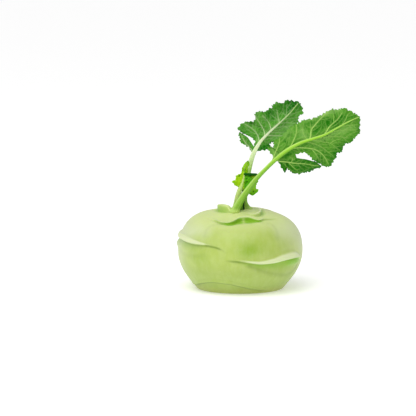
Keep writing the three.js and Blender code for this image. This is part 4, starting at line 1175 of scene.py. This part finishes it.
def shape_young_leaf(name, leaf, material):
    """A crinkled young leaf and its stalk, in one piece."""
    path, half_width = spine_of(leaf["spine"])
    rib = rib_of(path, leaf["start"])
    left = finer(leaf["left"], HEART_PITCH, leaf["teeth"])
    right = finer(leaf["right"], HEART_PITCH, -leaf["teeth"])
    bm = bmesh.new()
    layers = new_layers(bm, YOUNG_MARKS)
    plan = lay_sheet(bm, plain_patches(rib, left, right, leaf["rows"]))
    distance, hand, values = nearest(rib, plan)
    run, depth, share = values.T
    depth = depth + leaf["camber"] * distance**2
    frill = np.sin(2 * np.pi * run / leaf["length"] + leaf["phase"] + hand)
    depth += leaf["frill"] * smooth(distance, 0.5, 3) * frill
    x, z = plan.T
    crinkle = np.sin(2.1 * x + 1.3 * np.sin(1.7 * z)) * np.sin(1.9 * z + leaf["phase"])
    depth += leaf["crinkle"] * crinkle * smooth(distance, 0.3, 1.5)
    # the pits are hollows darkened with painted shade
    pitted = np.zeros(len(plan))
    for pit_x, pit_z, strength in leaf["pits"]:
        away = (x - pit_x) ** 2 + (z - pit_z) ** 2
        depth += 0.5 * strength * np.exp(-away / 0.5)
        pitted += strength * np.exp(-((away / 0.35) ** 2))
    for vert, y in zip(bm.verts, depth):
        vert.co.y = y * MM
    write_marks(bm.verts, layers, {
        "vein": 0.35 * bell(distance, 0, 0.5),
        "dark": np.clip(pitted + leaf["shade"](plan), 0, 1),
        "green": leaf["green"](plan),
        "share": np.ones(len(plan)),
    })
    face_front(bm)
    thicken(bm, HEART_THICKNESS)
    stalk_bm = bmesh.new()
    stalk_layers = new_layers(stalk_bm, YOUNG_MARKS)
    made, share, _ = draw_stem(
        stalk_bm, path, half_width, steady(0.9), steady(0), 0.04, 0.4,
        sides=HEART_STALK_SIDES, rows=HEART_STALK_ROWS,
    )
    write_marks(made, stalk_layers, {"vein": np.ones(len(made)), "share": share})
    close_roll(stalk_bm, made)
    join(bm, stalk_bm)
    return finish_mesh(bm, name, material)


def young_leaf(name, blade, green, dark, base, stalk, base_to=0.0):
    """Young leaf: tender, thin and glossy. Its crinkled sheet lets light through, and its stalk is pale and
    juicy, apart from its base, which has a colour of its own as far as a share of the stalk. The dark colour
    is painted shade. The green comes in patches of 3 mm, and the crinkles are 1.1 mm apart."""
    material, tree = new_material(name)
    place = add(tree, "TexCoord", {}).outputs["Object"]
    marks = {key: add(tree, "Attribute", {}, attribute_name=key).outputs["Fac"] for key in YOUNG_MARKS}
    cloud = add(tree, "TexNoise", {"Vector": place, "Scale": 330, "Detail": 3, "Roughness": 0.6})
    crinkle = add(tree, "TexNoise", {"Vector": place, "Scale": 900, "Detail": 2, "Roughness": 0.5})
    patch = add(tree, "MapRange", {"Value": cloud, "From Min": 0.35, "From Max": 0.65, "To Max": 0.35})
    greened = add(tree, "Math", {0: marks["green"], 1: patch}, operation="ADD", use_clamp=True)
    sheet = add(tree, "Mix", {"Factor": greened, "A": linear(blade), "B": linear(green)}, data_type="RGBA")
    rise = add(tree, "MapRange", {"Value": marks["share"], "From Min": base_to, "From Max": base_to + 0.3})
    stem = add(tree, "Mix", {"Factor": rise, "A": linear(base), "B": linear(stalk)}, data_type="RGBA")
    joined = add(tree, "Mix", {"Factor": marks["vein"], "A": sheet, "B": stem}, data_type="RGBA")
    colour = add(tree, "Mix", {"Factor": marks["dark"], "A": joined, "B": linear(dark)}, data_type="RGBA")
    tissue(tree, crinkle, 0.3, 0.5, (0.6, 1.0, 0.1), {
        "Base Color": colour, "Roughness": 0.45, "Specular IOR Level": 0.12,
        "Subsurface Weight": 0.2, "Subsurface Scale": 1 * MM,
    })
    return material


# Each leaf's pits are x, z and strength, and its shade and its greener parts are functions of the plan.
YOUNG_LEFT = dict(
    spine=[
        (-3.4, 1.6, 57.5, 2), (-2.8, 0.4, 62, 1.7), (-1.8, -1.2, 67, 1.8), (-0.2, -2.2, 72, 1.8),
        (1.5, -2.6, 77, 1), (2.6, -2.8, 81.3, 0.6), (2.9, -2.8, 84.4, 0.4),
    ],
    start=3 / 6,
    left=[
        (-0.6, 72.7), (-1.4, 74.4), (-3.8, 75.2), (-4.6, 76.6), (-6.2, 78.4), (-5.4, 79), (-3.4, 79.6),
        (-3.2, 82.4), (-1.4, 83.6), (0.4, 84), (1.6, 85.6), (2.2, 86), (3, 85.6),
    ],
    right=[
        (0.6, 72.2), (3.7, 72.4), (6.4, 75.4), (9, 78.8), (12.2, 81.6), (12.5, 83), (9.6, 83.4),
        (6.4, 83.2), (4.6, 84), (3, 85.6),
    ],
    rows=16, teeth=0.55, camber=-0.03, frill=0.7, length=6, phase=0.4, crinkle=0.35,
    pits=[(-0.6, 82.7, 1), (4.7, 80.4, 1.2), (4.9, 78.2, 0.9)],
    shade=lambda plan: 0.35 * shades(plan, [(3.4, 75.5, 1, 2.6, -20, 1), (8.8, 80.6, 2.2, 0.8, 30, 0.8)]),
    # the greener right half is partly its own colour and partly painted shade
    green=lambda plan: smooth(plan[:, 0], 2.4, 3.6) * (1 - smooth(plan[:, 0] + plan[:, 1], 88, 92)),
)
YOUNG_TOP = dict(
    spine=[
        (2, -0.9, 57.5, 0.85), (2.3, -1, 63, 0.9), (2.4, -0.5, 70, 0.9), (1.9, 0, 78, 0.85),
        (1.9, 0.1, 82.5, 0.8), (3.2, -0.4, 87, 0.55), (5.4, -0.6, 92.6, 0.35),
    ],
    start=4 / 6,
    left=[(1.6, 82.5), (0.9, 85.2), (1.4, 88.2), (2.8, 90.6), (4.4, 92.4), (5.7, 93.4)],
    right=[(2.3, 82.4), (5.2, 83), (5.6, 86), (5.6, 88.6), (6.8, 90.3), (6.6, 91.6), (5.7, 93.4)],
    rows=10, teeth=0.4, camber=0.04, frill=0.4, length=5, phase=0, crinkle=0.3,
    pits=[(3.9, 88.6, 1.2), (3.3, 86.4, 1.2)],
    shade=lambda plan: 0.4 * shades(plan, [(5.6, 92.6, 1, 1, 0, 1), (2, 83.5, 1.6, 0.8, 0, 0.8)]),
    green=lambda plan: 0.6 * smooth(plan[:, 0], 3.4, 6.4),
)
YOUNG_RIGHT = dict(
    spine=[
        (0.1, -2.6, 57.5, 1.2), (1.1, -3.2, 63, 1), (3.4, -3.6, 68.6, 1), (6.6, -3, 72.4, 0.9),
        (9, -2, 77, 0.6), (10.6, -1.2, 80.6, 0.4),
    ],
    start=3 / 5,
    left=[(6.4, 73), (7.6, 76.2), (8.8, 79.4), (9.8, 81), (11, 82)],
    right=[
        (6.3, 71.5), (6.6, 69.2), (8, 68), (10.2, 68.6), (12.4, 70.6), (13.4, 72.4), (12, 72.6),
        (11.2, 73.6), (11.8, 76), (12.9, 78.2), (12.2, 80.6), (11, 82),
    ],
    rows=12, teeth=0.45, camber=-0.02, frill=0.5, length=6, phase=1, crinkle=0.3,
    pits=[(9.6, 71.2, 1.2), (11, 76.6, 0.4)],
    shade=lambda plan: 0.5 * shades(plan, [(8, 69.4, 2, 1, 0, 0.6)]),
    green=lambda plan: 0.7 * smooth(72.5 - plan[:, 1], -1, 3),
)

young_left = shape_young_leaf(
    "young_leaf_left", YOUNG_LEFT,
    young_leaf("young leaf, yellow-green", "#b2dc18", "#5cb30c", "#1c4f07", "#a9c65c", "#c3da80"),
)
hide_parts("heart_leaf_left")
# the base of this stalk is painted almost black-green: painted shade in the gap between the other stalks
young_top = shape_young_leaf(
    "young_leaf_top", YOUNG_TOP,
    young_leaf("young leaf, bright green", "#9dd00f", "#62b00a", "#1d5508", "#1a4505", "#8cbe3a", 0.25),
)
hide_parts("heart_leaf_top")
young_right = shape_young_leaf(
    "young_leaf_right", YOUNG_RIGHT,
    young_leaf("young leaf, fresh green", "#8fc92a", "#69b50f", "#2a5c10", "#5c8f24", "#6da32e"),
)
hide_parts("heart_leaf_right")


# ---------------------------------------------------------------- rolled margin of the first young leaf
# The upper margin of the first young leaf, still rolled up on itself. Its green is darkened with painted
# shade, most round its lower back. It lies across the heart, grown on along the top of the blade that it
# belongs to.
ROLL_SPINE = [
    (2.6, -3.1, 83.9, 0.55), (4.6, -3.6, 83.7, 0.9), (7, -4.4, 83.7, 1), (9.6, -5.2, 83.8, 0.95),
    (12, -5.6, 83.7, 0.75), (13.2, -5.6, 83.4, 0.4),
]
ROLL_TURNS = 1.6
ROLL_THICKNESS = 0.3
ROLL_COLUMNS, ROLL_ROWS = 60, 72


def shape_rolled_margin():
    """A strip wound round its own length, open at its ends like a scroll."""
    path, half_width = spine_of(ROLL_SPINE)
    bm = bmesh.new()
    layers = new_layers(bm, YOUNG_MARKS)
    for vert, column, row in zip(*flat_grid(bm, ROLL_COLUMNS, ROLL_ROWS)):
        share, around = column / ROLL_COLUMNS, row / ROLL_ROWS
        x, y, z = path(share)
        size = float(half_width(share)) * (1 - 0.55 * around) * (1 + 0.06 * math.sin(19 * share))
        angle = 2 * math.pi * ROLL_TURNS * around + math.radians(200)
        vert.co = Vector((x, y + size * math.cos(angle), z + size * math.sin(angle))) * MM
        # painted shade, darker round the lower back of the roll
        vert[layers["dark"]] = 0.45 + 0.45 * math.cos(angle + 0.9)
        vert[layers["green"]] = 1.0
        vert[layers["share"]] = 1.0
    thicken(bm, ROLL_THICKNESS)
    return finish_mesh(
        bm, "young_leaf_rolled_margin",
        # near-black greens: painted shade
        young_leaf("rolled leaf margin, green under painted shade", "#136c04", "#0d5a03", "#011500", "#0d5a03", "#0d5a03"),
    )


rolled_margin = shape_rolled_margin()


# ---------------------------------------------------------------- studio
# A sheet of white paper lies underneath and reaches far behind. The light is white and soft all round, with
# a large round lamp overhead in front and a wide window's light from the left. The camera stands two metres
# away and looks down a little.
CAMERA_AT = (-23.264, -1972.462, 335.796)
CAMERA_AIM = (-23.264, 8.074, 57.450)
CAMERA_DISTANCE = 2000
FRAME_WIDTH = 302.43  # what the camera sees at that distance
SENSOR_WIDTH = 36


def white_sheet():
    """Matt white paper, which glows a little, so that its shadows stay faint."""
    material, tree = new_material("white paper")
    paper = add(tree, "BsdfPrincipled", {
        "Base Color": linear("#fbfbfb"), "Roughness": 0.9,
        "Emission Color": (1, 1, 1, 1), "Emission Strength": 0.3,
    })
    add(tree, "OutputMaterial", {"Surface": paper})
    return material


floor_mesh = bpy.data.meshes.new("floor")
bm = bmesh.new()
bmesh.ops.create_grid(bm, x_segments=1, y_segments=1, size=4)
bm.to_mesh(floor_mesh)
bm.free()
floor_mesh.materials.append(white_sheet())
floor = bpy.data.objects.new("floor", floor_mesh)
bpy.context.scene.collection.objects.link(floor)


def put(name, data, place, direction):
    """Puts a lamp or the camera at its place, in metres, turned in a direction."""
    thing = bpy.data.objects.new(name, data)
    thing.location = place
    thing.rotation_mode = "QUATERNION"
    thing.rotation_quaternion = Vector(direction).to_track_quat("-Z", "Y")
    bpy.context.scene.collection.objects.link(thing)
    return thing


overhead = bpy.data.lights.new("overhead", "AREA")
overhead.shape = "DISK"
overhead.size = 0.9
overhead.energy = 4
put("overhead", overhead, (-0.25, -0.45, 1.0), Vector((0, 0, 0.06)) - Vector((-0.25, -0.45, 1.0)))
window = bpy.data.lights.new("window", "SUN")
window.energy = 0.75
window.angle = math.radians(60)
put("window", window, (0, 0, 0), (0.35, 0.7, -1))

world = bpy.data.worlds.new("studio")
world.use_nodes = True
background = world.node_tree.nodes["Background"]
background.inputs["Color"].default_value = (1, 1, 1, 1)
background.inputs["Strength"].default_value = 0.52
bpy.context.scene.world = world

lens = bpy.data.cameras.new("camera")
lens.sensor_width = SENSOR_WIDTH
lens.lens = SENSOR_WIDTH * CAMERA_DISTANCE / FRAME_WIDTH
lens.clip_end = 20
bpy.context.scene.camera = put(
    "camera", lens, Vector(CAMERA_AT) * MM, Vector(CAMERA_AIM) - Vector(CAMERA_AT),
)

bpy.context.scene.view_settings.view_transform = "Standard"
